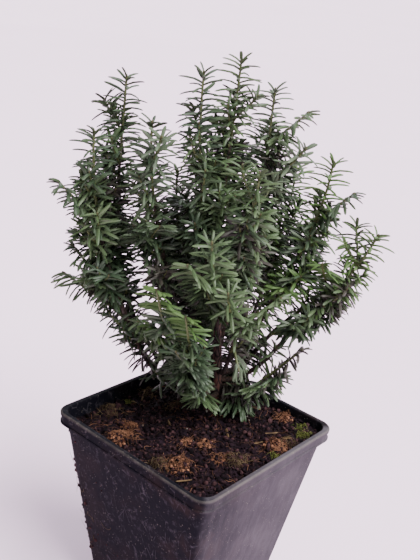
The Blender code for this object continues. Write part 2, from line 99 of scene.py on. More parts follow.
class Signal:
    """A number that changes over a surface: one socket, with arithmetic."""

    def __init__(self, recipe: Recipe, socket: bpy.types.NodeSocket) -> None:
        """Wrap a socket of a recipe's tree.

        Args:
            recipe: The material being made.
            socket: The output that carries the number.
        """
        self.recipe = recipe
        self.socket = socket

    def _math(self, operation: str, first: Operand, second: Operand = 0.0) -> Signal:
        """Add one Math node.

        Args:
            operation: The node's operation.
            first: Its first value or link.
            second: Its second value or link.

        Returns:
            The node's result.
        """
        made = self.recipe.node("ShaderNodeMath", {"operation": operation}, {0: first, 1: second})
        return Signal(self.recipe, made.outputs[0])

    def __add__(self, other: Operand) -> Signal:
        """Return self + other."""
        return self._math("ADD", self, other)

    def __radd__(self, other: Operand) -> Signal:
        """Return other + self."""
        return self._math("ADD", other, self)

    def __sub__(self, other: Operand) -> Signal:
        """Return self - other."""
        return self._math("SUBTRACT", self, other)

    def __rsub__(self, other: Operand) -> Signal:
        """Return other - self."""
        return self._math("SUBTRACT", other, self)

    def __mul__(self, other: Operand) -> Signal:
        """Return self * other."""
        return self._math("MULTIPLY", self, other)

    def __rmul__(self, other: Operand) -> Signal:
        """Return other * self."""
        return self._math("MULTIPLY", other, self)

    def __pow__(self, other: Operand) -> Signal:
        """Return self raised to other."""
        return self._math("POWER", self, other)

    def __abs__(self) -> Signal:
        """Return self without its sign."""
        return self._math("ABSOLUTE", self)

    def over(self, level: float) -> Signal:
        """Return how far self is above a level, or 0 below it."""
        return self._math("MAXIMUM", self - level, 0.0)

    def step(self, low: float, high: float) -> Signal:
        """Ease from 0 at low to 1 at high.

        Args:
            low: The value that gives 0.
            high: The value that gives 1.

        Returns:
            The eased number, held between 0 and 1.
        """
        settings = {"interpolation_type": "SMOOTHSTEP"}
        made = self.recipe.node("ShaderNodeMapRange", settings, {0: self, 1: low, 2: high})
        return Signal(self.recipe, made.outputs[0])


Operand = Signal | float
Colour = tuple[float, float, float]


class Recipe:
    """One Principled material, put together node by node."""

    def __init__(self, name: str) -> None:
        """Start a material with its shader.

        Args:
            name: The material's name.
        """
        self.material = bpy.data.materials.new(name)
        self.material.use_nodes = True
        self.tree = self.material.node_tree
        self.shader = self.tree.nodes["Principled BSDF"]

    def node(self, kind: str, settings: dict | None = None, inputs: dict | None = None) -> bpy.types.Node:
        """Make any node.

        Args:
            kind: The node's type.
            settings: Its own settings, set first.
            inputs: Values or links by socket name or number.

        Returns:
            The new node.
        """
        made = self.tree.nodes.new(kind)
        for key, value in (settings or {}).items():
            setattr(made, key, value)
        for key, value in (inputs or {}).items():
            self.feed(made.inputs[key], value)
        return made

    def feed(self, socket: bpy.types.NodeSocket, value: object) -> None:
        """Set a socket, or link it.

        Args:
            socket: The input to fill.
            value: A signal, an output, a number, or a colour of three numbers.
        """
        if isinstance(value, Signal):
            self.tree.links.new(value.socket, socket)
        elif isinstance(value, bpy.types.NodeSocket):
            self.tree.links.new(value, socket)
        elif isinstance(value, tuple) and socket.type == "RGBA":
            socket.default_value = (*value, 1.0)
        else:
            socket.default_value = value

    def place(self, stretch: tuple[float, float, float] = (1.0, 1.0, 1.0)) -> bpy.types.NodeSocket:
        """Give the point on the piece, in metres.

        Args:
            stretch: How much finer a pattern gets along each axis.

        Returns:
            A vector output.
        """
        spot = self.node("ShaderNodeTexCoord").outputs["Object"]
        return self.node("ShaderNodeMapping", None, {"Vector": spot, "Scale": stretch}).outputs["Vector"]

    def along(self, axis: str) -> Signal:
        """Give the point's place along X, Y or Z, in metres."""
        split = self.node("ShaderNodeSeparateXYZ", None, {0: self.place()})
        return Signal(self, split.outputs[axis])

    def grain(self, size: float, detail: float = 3.0, rough: float = 0.55,
              stretch: tuple[float, float, float] = (1.0, 1.0, 1.0)) -> Signal:
        """Add noise.

        Args:
            size: The size of its features, in metres.
            detail: How many finer layers it has.
            rough: How strong the finer layers are.
            stretch: How much finer it gets along each axis.

        Returns:
            A number between 0 and 1, mostly near a half.
        """
        inputs = {"Vector": self.place(stretch), "Scale": 1.0 / size, "Detail": detail, "Roughness": rough}
        return Signal(self, self.node("ShaderNodeTexNoise", None, inputs).outputs["Fac"])

    def cells(self, size: float, feature: str = "F1", stretch: tuple[float, float, float] = (1.0, 1.0, 1.0)) -> Signal:
        """Add a pattern of cells.

        Args:
            size: The size of a cell, in metres.
            feature: The node's feature, such as F1 or DISTANCE_TO_EDGE.
            stretch: How much finer it gets along each axis.

        Returns:
            The distance that the feature measures, in cells.
        """
        inputs = {"Vector": self.place(stretch), "Scale": 1.0 / size}
        return Signal(self, self.node("ShaderNodeTexVoronoi", {"feature": feature}, inputs).outputs["Distance"])

    def blend(self, share: Operand, first: object, second: object, kind: str = "MIX") -> bpy.types.NodeSocket:
        """Mix two colours.

        Args:
            share: How much of the second shows.
            first: A colour or an output.
            second: A colour or an output.
            kind: The blend type.

        Returns:
            The mixed colour's output.
        """
        settings = {"data_type": "RGBA", "blend_type": kind}
        return self.node("ShaderNodeMix", settings, {0: share, 6: first, 7: second}).outputs[2]

    def bump(self, relief: Signal, depth: float, strength: float = 1.0) -> None:
        """Roughen the surface.

        Args:
            relief: The height pattern, from 0 to 1.
            depth: The height of 1, in metres.
            strength: How strongly it shows.
        """
        inputs = {"Height": relief, "Distance": depth, "Strength": strength}
        self.feed(self.shader.inputs["Normal"], self.node("ShaderNodeBump", None, inputs).outputs["Normal"])

    def finish(self, **values: object) -> bpy.types.Material:
        """Fill the shader's sockets and hand over the material.

        Args:
            **values: Sockets by name, with underscores for spaces.

        Returns:
            The finished material.
        """
        for key, value in values.items():
            self.feed(self.shader.inputs[key.replace("_", " ")], value)
        return self.material


# Finishes


@dataclass(frozen=True)
class PotPlastic:
    """Thin black moulded plastic: dusty, stained and scratched, with a painted sheen in streaks over its +X side and
    rim, and a painted highlight with some wear along the rim's outer edge.
    """

    black: Colour = (0.0040, 0.0040, 0.0068)
    stain: Colour = (0.0180, 0.0110, 0.0112)
    scuffs_and_sheen: Colour = (0.066, 0.058, 0.069)
    dust_and_highlight: Colour = (0.150, 0.130, 0.115)
    height: float = 120 * MM
    half: float = 55 * MM
    corner: float = 8 * MM

    def make(self) -> bpy.types.Material:
        """Make the material."""
        recipe = Recipe("pot_plastic")
        along, across_it, up = (recipe.along(axis) for axis in "XYZ")
        cloud = recipe.grain(26 * MM, 4.0, 0.6)
        fine = recipe.grain(1.1 * MM, 2.0)
        streak = recipe.grain(3.5 * MM, 4.0, 0.65, (1.0, 1.0, 0.12))
        specks = 1 - recipe.cells(1.9 * MM).step(0.05, 0.23)
        speck_area = recipe.grain(6 * MM, 4.0, 0.7).step(0.42, 0.62)
        film = recipe.grain(4.5 * MM, 5.0, 0.75).step(0.52, 0.70)
        scratch = 1 - recipe.cells(5 * MM, "DISTANCE_TO_EDGE", (1.0, 1.0, 0.35)).step(0.006, 0.028)
        scratch_area = recipe.grain(8 * MM, 3.0).step(0.50, 0.64)
        # The +X face, which gets a painted sheen.
        side = (along - abs(across_it)).step(-2 * MM, 4 * MM)
        # The painted sheen grows stronger towards +Y along that face.
        far = across_it.step(-46 * MM, 14 * MM)
        near = along.step(0.0, 50 * MM)
        inset = self.half - self.corner
        out = (abs(along).over(inset) ** 2 + abs(across_it).over(inset) ** 2) ** 0.5
        rim = up.step(self.height - 1.6 * MM, self.height - 0.3 * MM)
        lip = up.step(self.height - 7.4 * MM, self.height - 6.8 * MM)
        # The rim's outer top edge, where a painted highlight line goes, together with some wear.
        edge = out.step(self.corner - 1.1 * MM, self.corner - 0.7 * MM) * rim
        breaks = recipe.grain(9 * MM, 4.0, 0.7).step(0.35, 0.65)
        # Painted sheen over the +X face, in clouds and upright streaks.
        painted_side_sheen = side * (0.20 + far * 0.32 + cloud.step(0.3, 0.7) * (0.12 + far * 0.26) + streak.step(0.4, 0.7) * 0.20)
        shell = recipe.blend(cloud.step(0.44, 0.64) * (0.35 + near * 0.6), self.black, self.stain)
        # Painted sheen on the rim band and rim top of the +X side, and a slightly lighter rim top all round.
        shell = recipe.blend(painted_side_sheen + lip * side * 0.08 + rim * (0.03 + side * 0.12), shell, self.scuffs_and_sheen)
        shell = recipe.blend(film * 0.42 + scratch * scratch_area * 0.45, shell, self.scuffs_and_sheen)
        # Painted highlight along the rim's outer edge, broken up and stronger on the +X side, with some wear; the
        # specks are real dust.
        rim_highlight_and_wear = edge * (0.10 + side * 0.10 + breaks * 0.16)
        shell = recipe.blend(rim_highlight_and_wear + specks * speck_area * 0.80, shell, self.dust_and_highlight)
        roughness = 0.50 + film * 0.16 + fine * 0.10 + streak * 0.08
        recipe.bump(fine * 0.5 + scratch * scratch_area * -0.5 + specks * speck_area, 0.12 * MM)
        return recipe.finish(Base_Color=shell, Roughness=roughness, Specular_IOR_Level=0.03)


@dataclass(frozen=True)
class Peat:
    """Moist peat: nearly black hollows, brown crumbs and paler dry patches."""

    name: str
    wet: Colour = (0.0014, 0.0009, 0.0016)
    crumb: Colour = (0.0135, 0.0060, 0.0112)
    dry: Colour = (0.056, 0.026, 0.030)
    dryness: float = 0.35

    def make(self) -> bpy.types.Material:
        """Make the material."""
        recipe = Recipe(self.name)
        patch = recipe.grain(14 * MM, 3.0)
        crumb = recipe.grain(1.6 * MM, 5.0, 0.7)
        fibre = recipe.grain(0.7 * MM, 2.0, 0.6, (1.0, 0.3, 1.0))
        earth = recipe.blend(crumb.step(0.35, 0.68), self.wet, self.crumb)
        earth = recipe.blend(patch.step(0.45, 0.75) * fibre.step(0.40, 0.65) * self.dryness, earth, self.dry)
        recipe.bump(crumb * 0.7 + fibre * 0.3, 0.5 * MM)
        return recipe.finish(Base_Color=earth, Roughness=0.70 + crumb * 0.2, Specular_IOR_Level=0.08)


@dataclass(frozen=True)
class Crumbs:
    """Loose bits in one range of colour: crumbs, fibres, moss or white grains."""

    name: str
    dark: Colour
    light: Colour
    size: float = 2.5 * MM
    roughness: float = 0.9

    def make(self) -> bpy.types.Material:
        """Make the material."""
        recipe = Recipe(self.name)
        patch = recipe.grain(self.size, 3.0, 0.6)
        fine = recipe.grain(0.5 * MM, 3.0)
        tint = recipe.blend(patch.step(0.35, 0.66), self.dark, self.light)
        recipe.bump(fine, 0.15 * MM, 0.8)
        return recipe.finish(Base_Color=tint, Roughness=self.roughness, Specular_IOR_Level=0.08)


@dataclass(frozen=True)
class Bark:
    """Thin bark that flakes in upright scales: grey-brown over rusty red."""

    name: str
    scale: Colour = (0.084, 0.056, 0.048)
    rust: Colour = (0.112, 0.044, 0.032)
    crack: Colour = (0.0075, 0.0045, 0.0040)
    size: float = 2.6 * MM

    def make(self) -> bpy.types.Material:
        """Make the material."""
        recipe = Recipe(self.name)
        stretch = (1.0, 1.0, 0.3)
        plates = recipe.cells(self.size, "DISTANCE_TO_EDGE", stretch)
        patch = recipe.grain(5 * MM, 4.0, 0.6)
        fine = recipe.grain(0.6 * MM, 3.0, 0.6, stretch)
        skin = recipe.blend(patch.step(0.42, 0.62), self.scale, self.rust)
        skin = recipe.blend(fine.step(0.3, 0.7) * 0.4, skin, self.crack)
        skin = recipe.blend(1 - plates.step(0.02, 0.12), skin, self.crack)
        recipe.bump(plates.step(0.0, 0.2) * 0.6 + fine * 0.4, 0.25 * MM)
        return recipe.finish(Base_Color=skin, Roughness=0.75 + fine * 0.2, Specular_IOR_Level=0.35)


@dataclass(frozen=True)
class ShootSkin:
    """The skin of young shoots: green ridges that turn brown with age."""

    name: str
    main: Colour
    ridge: Colour

    def make(self) -> bpy.types.Material:
        """Make the material."""
        recipe = Recipe(self.name)
        ridges = recipe.grain(0.8 * MM, 2.0, 0.5, (1.0, 1.0, 0.2))
        patch = recipe.grain(8 * MM, 2.0)
        skin = recipe.blend(ridges.step(0.35, 0.65) * 0.6 + patch * 0.3, self.main, self.ridge)
        recipe.bump(ridges, 0.12 * MM)
        return recipe.finish(Base_Color=skin, Roughness=0.5 + ridges * 0.2)


@dataclass(frozen=True)
class NeedleSkin:
    """One face of the needles of a tone, leathery and slightly waxy."""

    name: str
    main: Colour
    shade: Colour
    roughness: float
    shine: float

    def make(self) -> bpy.types.Material:
        """Make the material."""
        recipe = Recipe(self.name)
        spray = recipe.grain(17 * MM, 2.0, 0.6)
        fine = recipe.grain(1.3 * MM, 2.0)
        skin = recipe.blend(spray.step(0.30, 0.70), self.main, self.shade)
        recipe.bump(fine, 0.05 * MM, 0.6)
        return recipe.finish(Base_Color=skin, Roughness=self.roughness + fine * 0.12, Specular_IOR_Level=self.shine)


NEEDLE_TOPS: dict[Tone, tuple[Colour, Colour]] = {
    Tone.DEEP: ((0.025, 0.044, 0.023), (0.045, 0.067, 0.034)),
    Tone.MID: ((0.043, 0.072, 0.031), (0.068, 0.103, 0.046)),
    Tone.FRESH: ((0.044, 0.090, 0.023), (0.074, 0.126, 0.040)),
    Tone.GREY: ((0.048, 0.072, 0.040), (0.078, 0.108, 0.063)),
    Tone.DULL: ((0.022, 0.021, 0.016), (0.044, 0.040, 0.032)),
}
# Painted shade under the needles: the lower faces' second colour is dimmed by this factor.
NEEDLE_UNDERSIDE_PAINTED_SHADE = 0.80


# Small shapes in their thousands


@dataclass
class Template:
    """One small shape as arrays: its corners, its faces of equal size, and a slot for each."""

    corners: np.ndarray
    faces: np.ndarray
    slots: np.ndarray


@dataclass
class Swarm:
    """Many copies of a few small shapes, joined into one mesh."""

    templates: Sequence[Template]
    picks: list[int] = field(default_factory=list)
    frames: list[np.ndarray] = field(default_factory=list)

    def add(self, pick: int, origin: Vector, axes: tuple[Vector, Vector, Vector], scale: Sequence[float]) -> None:
        """Place one copy.

        Args:
            pick: Which template it copies.
            origin: Where the template's origin goes.
            axes: Where its X, Y and Z go, each at unit length.
            scale: Its size along each.
        """
        turned = np.array([axes[0] * scale[0], axes[1] * scale[1], axes[2] * scale[2], origin])
        self.picks.append(pick)
        self.frames.append(turned)

    def parts(self, most: int) -> list[Swarm]:
        """Share the copies out.

        Args:
            most: How many copies a part may have.

        Returns:
            The parts, in the order in which the copies were placed.
        """
        starts = range(0, len(self.picks), most)
        return [Swarm(self.templates, self.picks[start:start + most], self.frames[start:start + most])
                for start in starts]

    def mesh(self, name: str, materials: Sequence[bpy.types.Material]) -> bpy.types.Object:
        """Join the copies.

        Args:
            name: The piece's name.
            materials: A material for each slot.

        Returns:
            The piece.
        """
        corners, faces, slots = [], [], []
        count = 0
        frames = np.array(self.frames)
        picks = np.array(self.picks)
        for index, shape in enumerate(self.templates):
            own = frames[picks == index]
            if not len(own):
                continue
            placed = np.einsum("vi,kij->kvj", shape.corners, own[:, :3]) + own[:, 3][:, None]
            starts = count + len(shape.corners) * np.arange(len(own))
            corners.append(placed.reshape(-1, 3))
            faces.append((shape.faces[None] + starts[:, None, None]).reshape(-1, shape.faces.shape[1]))
            slots.append(np.tile(shape.slots, len(own)))
            count += len(placed) * len(shape.corners)
        mesh = bpy.data.meshes.new(name)
        mesh.from_pydata(np.concatenate(corners), [], np.concatenate(faces))
        mesh.polygons.foreach_set("material_index", np.concatenate(slots))
        return piece_of(name, mesh, materials, 50)


def piece_of(name: str, mesh: bpy.types.Mesh, materials: Sequence[bpy.types.Material],
             sharp: float = 35) -> bpy.types.Object:
    """Make a smooth-shaded piece of a mesh.

    Args:
        name: The piece's name.
        mesh: Its mesh.
        materials: Its materials, one for each slot.
        sharp: The angle in degrees past which an edge stays sharp.

    Returns:
        The piece, in the scene.
    """
    for material in materials:
        mesh.materials.append(material)
    mesh.shade_smooth()
    mesh.set_sharp_from_angle(angle=math.radians(sharp))
    made = bpy.data.objects.new(name, mesh)
    bpy.context.scene.collection.objects.link(made)
    return made


def across(direction: Vector, hint: Vector) -> Vector:
    """Take the part of a vector that stands square to a direction.

    Args:
        direction: The direction, at unit length.
        hint: The vector.

    Returns:
        The part, at unit length.
    """
    square = hint - direction * hint.dot(direction)
    if square.length < 1e-6:
        square = direction.orthogonal()
    return square.normalized()


def smooth_step(value: float) -> float:
    """Ease a number from 0 to 1, and hold it there."""
    value = min(max(value, 0.0), 1.0)
    return value * value * (3.0 - 2.0 * value)


class Limb:
    """A tapering limb or shoot: points along its middle and the radius at each."""

    def __init__(self, points: Sequence[Vector], radii: Sequence[float]) -> None:
        """Measure the limb.

        Args:
            points: Points along its middle, foot first.
            radii: The radius at each.
        """
        self.points = [Vector(point) for point in points]
        self.radii = list(radii)
        self.along = [0.0]
        for first, second in zip(self.points, self.points[1:]):
            self.along.append(self.along[-1] + (second - first).length)
        self.length = self.along[-1]

    def at(self, distance: float) -> tuple[Vector, Vector, float]:
        """Look along the limb.

        Args:
            distance: How far from its foot.

        Returns:
            The point there, the direction and the radius.
        """
        distance = min(max(distance, 0.0), self.length)
        last = len(self.points) - 2
        index = next((i for i in range(last) if distance <= self.along[i + 1]), last)
        share = (distance - self.along[index]) / (self.along[index + 1] - self.along[index])
        step = self.points[index + 1] - self.points[index]
        radius = self.radii[index] + (self.radii[index + 1] - self.radii[index]) * share
        return self.points[index] + step * share, step.normalized(), radius

    def finer(self, spacing: float) -> Limb:
        """Lay more points along the limb, on a smooth curve.

        Args:
            spacing: How far apart they are.

        Returns:
            The same limb with more points.
        """
        points: list[Vector] = []
        radii: list[float] = []
        pairs = list(zip(self.points, self.points[1:]))
        tangents = [(pairs[0][1] - pairs[0][0]).normalized()]
        tangents += [(b - a).normalized() for a, b in zip(self.points, self.points[2:])]
        tangents.append((pairs[-1][1] - pairs[-1][0]).normalized())
        for index, (first, second) in enumerate(pairs):
            span = (second - first).length
            count = max(int(span / spacing), 1) + 1
            bend = interpolate_bezier(first, first + tangents[index] * span / 3,
                                      second - tangents[index + 1] * span / 3, second, count)
            points += bend[:-1]
            radii += list(np.linspace(self.radii[index], self.radii[index + 1], count))[:-1]
        return Limb(points + [self.points[-1]], radii + [self.radii[-1]])


def strand_mesh(name: str, limbs: Sequence[Limb], resolution: int) -> bpy.types.Mesh:
    """Skin many limbs with round, capped tubes.

    Args:
        name: The mesh's name.
        limbs: The limbs.
        resolution: The curve's bevel resolution.

    Returns:
        One joined mesh.
    """
    curve = bpy.data.curves.new(name, "CURVE")
    curve.dimensions = "3D"
    curve.bevel_depth = 1.0
    curve.bevel_resolution = resolution
    curve.use_fill_caps = True
    for limb in limbs:
        spline = curve.splines.new("POLY")
        spline.points.add(len(limb.points) - 1)
        spline.points.foreach_set("co", [value for point in limb.points for value in (*point, 1.0)])
        spline.points.foreach_set("radius", limb.radii)
    holder = bpy.data.objects.new(name, curve)
    mesh = bpy.data.meshes.new_from_object(holder)
    bpy.data.objects.remove(holder)
    bpy.data.curves.remove(curve)
    return mesh


def roughen(mesh: bpy.types.Mesh, relief: Callable[[Vector], float]) -> None:
    """Push a mesh's corners in or out along its normals.

    Args:
        mesh: The mesh.
        relief: How far outwards a point goes, in metres.
    """
    shape = bmesh.new()
    shape.from_mesh(mesh)
    shape.normal_update()
    moves = [corner.normal * relief(corner.co) for corner in shape.verts]
    for corner, move in zip(shape.verts, moves):
        corner.co += move
    shape.to_mesh(mesh)
    shape.free()


# The crown's plan, as in the solids


@dataclass(frozen=True)
class Place:
    """A place on the plant: bearing in degrees, then millimetres out and up from the collar."""

    bearing: float
    reach: float
    height: float

    def point(self) -> Vector:
        """Give the place as a point."""
        angle = math.radians(self.bearing)
        return COLLAR + Vector((self.reach * math.cos(angle), self.reach * math.sin(angle), self.height)) * MM


@dataclass(frozen=True)
class MassPlan:
    """A bough and the mass at its end.

    The bough leaves its parent at a height up the stem in millimetres, or at a share of
    another bough's length. The first leader carries on from it, and the rest leave that one.
    The fresh leaders, by number, are in bright new growth.
    """

    parent: str
    leaves: float
    end: Place
    rise: float
    leaders: tuple[Place, ...]
    tones: tuple[Tone, ...]
    fresh: tuple[int, ...] = ()


SOIL_LEVEL = 114 * MM
COLLAR = Vector((-8 * MM, 25.7 * MM, SOIL_LEVEL))
DARK = (Tone.DEEP,) * 6 + (Tone.MID,) * 3
MIXED = (Tone.DEEP,) * 5 + (Tone.MID,) * 5 + (Tone.GREY, Tone.FRESH)
PALE = (Tone.DEEP,) * 2 + (Tone.MID,) * 5 + (Tone.GREY,) * 3
LOW = (Tone.DEEP,) * 4 + (Tone.MID,) * 3 + (Tone.DULL,)
BRIGHT = (Tone.DEEP,) * 4 + (Tone.MID,) * 6 + (Tone.FRESH,) * 2
INNER = (Tone.DULL,) * 3 + (Tone.DEEP,) * 4 + (Tone.MID,)
FOOT = (Tone.DULL,) * 4 + (Tone.DEEP,) * 5 + (Tone.GREY,)

PLAN: dict[str, MassPlan] = {
    "left": MassPlan("stem", 6, Place(223, 52, 44), 0.20, (
        Place(228, 79, 157), Place(232, 97, 131), Place(224, 89, 93), Place(218, 95, 73),
        Place(226, 85, 133)), DARK),
    "left_tall": MassPlan("left", 0.62, Place(214, 57, 62), 0.50, (
        Place(212, 67, 183), Place(209, 81, 169), Place(200, 93, 131)), DARK),
    "left_inner": MassPlan("stem", 26, Place(229, 30, 66), 0.50, (
        Place(233, 51, 165), Place(250, 50, 160), Place(235, 50, 92)), MIXED),
    "left_back": MassPlan("stem", 34, Place(192, 24, 62), 0.50, (
        Place(186, 44, 133), Place(200, 58, 120)), DARK),
    "centre_left": MassPlan("stem", 60, Place(236, 15, 84), 0.55, (Place(236, 28, 191),), MIXED),
    "centre_top": MassPlan("stem", 70, Place(205, 10, 92), 0.60, (
        Place(186, 11, 198), Place(74, 3, 181)), MIXED),
    "centre_right": MassPlan("stem", 50, Place(92, 10, 78), 0.55, (
        Place(97, 19, 184), Place(51, 30, 175), Place(28, 30, 159)), MIXED),
    "centre_front": MassPlan("stem", 56, Place(315, 13, 80), 0.55, (
        Place(318, 36, 151), Place(343, 27, 144), Place(303, 28, 152)), PALE),
    "right_upper": MassPlan("stem", 30, Place(40, 22, 66), 0.50, (
        Place(39, 44, 153), Place(31, 58, 139)), MIXED),
    "right_outer": MassPlan("stem", 18, Place(33, 30, 44), 0.45, (
        Place(36, 74, 118), Place(48, 64, 119), Place(39, 56, 111)), BRIGHT, (2,)),
    "right_low": MassPlan("stem", 22, Place(56, 24, 42), 0.50, (
        Place(46, 68, 88), Place(25, 53, 77), Place(22, 47, 101)), MIXED),
    "right_foot": MassPlan("stem", 7, Place(12, 18, 17), 0.50, (
        Place(21, 46, 51), Place(32, 34, 22)), LOW),
    "front_high": MassPlan("stem", 43, Place(290, 18, 66), 0.50, (
        Place(293, 48, 117), Place(284, 57, 105)), PALE),
    "front_left": MassPlan("stem", 13, Place(260, 26, 32), 0.45, (
        Place(271, 61, 90), Place(249, 56, 62)), MIXED, (0,)),
    "front_low": MassPlan("stem", 9, Place(285, 20, 20), 0.45, (
        Place(287, 58, 80), Place(282, 56, 58), Place(284, 49, 41)), LOW, (0,)),
    "front_right": MassPlan("stem", 24, Place(322, 18, 46), 0.50, (
        Place(306, 50, 93), Place(343, 46, 89), Place(326, 33, 39)), PALE),
    "back_left": MassPlan("stem", 19, Place(165, 28, 44), 0.45, (
        Place(167, 56, 118), Place(183, 62, 96), Place(164, 63, 60)), DARK),
    "back": MassPlan("stem", 38, Place(131, 17, 66), 0.50, (Place(140, 51, 140), Place(118, 41, 158)), MIXED),
    "back_right": MassPlan("stem", 12, Place(98, 26, 40), 0.45, (
        Place(96, 55, 138), Place(79, 62, 112), Place(96, 67, 72)), MIXED),
    "back_low": MassPlan("stem", 7, Place(140, 22, 20), 0.45, (
        Place(144, 64, 84), Place(117, 66, 96), Place(127, 58, 48)), MIXED),
}


@dataclass
class Framework:
    """The stem and the boughs, grown by the rule of the solids and given their bark."""

    gap: float = 0.3 * MM
    stem_height: float = 70 * MM
    lean_bearing: float = 219
    lean: float = 6 * MM
    flare_radius: float = 5.0 * MM
    flare_height: float = 10 * MM
    foot_radius: float = 3.0 * MM
    top_radius: float = 2.0 * MM
    bough_thickness: float = 0.62
    thickest_bough: float = 2.0 * MM
    thinnest_bough: float = 1.3 * MM
    bough_taper: float = 0.7
    bough_collar: float = 1.0 * MM
    bough_points: int = 8
    bark_ring: float = 0.5 * MM
    limbs: dict[str, Limb] = field(default_factory=dict)

    def grow(self) -> None:
        """Lay out the stem and every bough."""
        self.limbs = {"stem": self._stem()}
        for name, plan in PLAN.items():
            self.limbs[name] = self._bough(plan, self.limbs[plan.parent])

    def _stem(self) -> Limb:
        """Lay out the stem from its flat cut to its fork."""
        bearing = math.radians(self.lean_bearing)
        share = (0.0, 0.03, 0.07, 0.14, 0.31, 0.51, 0.71, 0.86, 1.0)
        points, radii = [], []
        for height in (max(part * self.stem_height, self.gap) for part in share):
            out = self.lean * smooth_step(height / self.stem_height) if height > 2.2 * MM else 0.0
            points.append(COLLAR + Vector((out * math.cos(bearing), out * math.sin(bearing), height)))
            flare = max(1 - height / self.flare_height, 0.0) ** 2
            plain = self.foot_radius + (self.top_radius - self.foot_radius) * height / self.stem_height
            radii.append(plain + (self.flare_radius - self.foot_radius) * flare)
        return Limb(points, radii)

    def _bough(self, plan: MassPlan, parent: Limb) -> Limb:
        """Lay out a bough.

        Args:
            plan: Where it leaves and ends.
            parent: The limb that it leaves.

        Returns:
            The bough.
        """
        end = plan.end.point()
        distance = plan.leaves * MM if plan.parent == "stem" else plan.leaves * parent.length
        foot, direction, thickness = parent.at(distance)
        radius = max(min(thickness * self.bough_thickness, self.thickest_bough), self.thinnest_bough)
        outward = direction
        start = foot
        if distance < parent.length:
            outward = across(direction, end - foot)
            start = foot + outward * thickness * 0.4
        flat = Vector((end.x - start.x, end.y - start.y, 0.0))
        rise = end.z - start.z
        knee = start + outward * (self.bough_collar + thickness * 0.6)
        first = knee + outward * max(flat.length, rise * 0.5) * 0.3
        second = start + flat * 0.75 + UP * rise * plan.rise
        points = [start] + list(interpolate_bezier(knee, first, second, end, self.bough_points - 1))
        radii = list(np.linspace(radius, radius * self.bough_taper, self.bough_points))
        radii[0] = radius * 1.25
        return Limb(points, radii)

    def bark_relief(self, point: Vector) -> float:
        """Give the bark's relief at a point: upright plates with cracks between them.

        Args:
            point: The point.

        Returns:
            How far out the bark stands there, in metres.
        """
        stretched = Vector((point.x, point.y, point.z * 0.35)) / (1.7 * MM)
        near, _ = noise.voronoi(stretched)
        crack = smooth_step((near[1] - near[0]) / 0.35) - 1
        swell = noise.fractal(point / (4 * MM), 0.6, 2.0, 3)
        return crack * 0.14 * MM + swell * 0.10 * MM

    def build(self) -> list[Piece]:
        """Make the bark of the stem and of the boughs."""
        stem = strand_mesh("stem_bark", [self.limbs["stem"].finer(self.bark_ring)], 10)
        roughen(stem, self.root_relief)
        roughen(stem, self.bark_relief)
        boughs = strand_mesh("bough_bark", [self.limbs[name].finer(self.bark_ring * 1.4) for name in PLAN], 5)
        roughen(boughs, lambda point: self.bark_relief(point) * 0.75)
        young = Bark("young_bark", (0.034, 0.024, 0.018), (0.044, 0.022, 0.015), (0.008, 0.0055, 0.0045), 2.0 * MM)
        return [
            Piece(piece_of("stem_bark", stem, [Bark("old_bark").make()], 70), Slot.BARK, ("stem",)),
            Piece(piece_of("bough_bark", boughs, [young.make()], 70), Slot.BARK,
                  tuple(f"bough_{name}" for name in PLAN)),
        ]

    def root_relief(self, point: Vector) -> float:
        """Spread the stem's foot into four low buttresses.

        Args:
            point: A point of the stem's skin.

        Returns:
            How far out it goes, in metres.
        """
        height = point.z - SOIL_LEVEL
        angle = math.atan2(point.y - COLLAR.y, point.x - COLLAR.x)
        return 0.8 * MM * max(1 - height / (12 * MM), 0.0) ** 1.5 * math.cos(4 * angle + 0.7)


@dataclass(frozen=True)
class Piece:
    """A made piece, its slot in the record, and the solids it stands for."""

    made: bpy.types.Object
    slot: Slot
    stands_for: tuple[str, ...] = ()

    def hand_over(self) -> None:
        """Put the piece on the body, and report it."""
        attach(self.made, BODY)
        if self.stands_for:
            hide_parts(*self.stands_for)
        LOG.info("%s: %d faces", self.made.name, len(self.made.data.polygons))


@dataclass
class Needle:
    """The shape of one needle: narrow at its stalk, parallel-sided, with a keel and a short, blunt point."""

    length: float = 11.8 * MM
    width: float = 1.8 * MM
    keel: float = 0.72
    belly: float = 0.58
    stations: tuple[tuple[float, float], ...] = ((0.0, 0.42), (0.12, 0.90), (0.42, 1.0), (0.76, 0.97), (0.93, 0.68))

    def template(self, arch: float, sickle: float) -> Template:
        """Make the needle's shape at a length of 1, half width of 1 and along Z.

        Args:
            arch: How far its tip drops away from its upper face.
            sickle: How far its tip swings sideways.

        Returns:
            The shape, with its upper faces in slot 0 and its lower faces in slot 1.
        """
        corners, faces, slots = [], [], []
        for along, half in self.stations:
            drop = -arch * along ** 1.7
            swing = sickle * along ** 2
            corners += [(swing - half, drop, along), (swing, drop + self.keel * half ** 0.5, along),
                        (swing + half, drop, along), (swing, drop - self.belly * half ** 0.5, along)]
        corners.append((sickle, -arch, 1.0))
        tip = len(corners) - 1
        last = len(self.stations) - 1
        for ring in range(last + 1):
            for side in range(4):
                first, second = ring * 4 + side, ring * 4 + (side + 1) % 4
                made = [(first, second, tip)] if ring == last else [
                    (first, second, second + 4), (first, second + 4, first + 4)]
                faces += made
                slots += [0 if side < 2 else 1] * len(made)
        return Template(np.array(corners, float), np.array(faces), np.array(slots))


@dataclass(frozen=True)
class Spray:
    """The needles of one shoot.

    An upright shoot has them all round, and any other has two ranks. The shoot's foot may
    be bare, older needles droop, and a spray may start some way below the shoot's tip. The
    needles of a bound one keep within the crown's narrow foot.
    """

    shoot: Limb
    tone: Tone
    upright: bool
    bare: float = 0.0
    droop: float = 0.0
    start: float = 0.0
    bound: bool = True


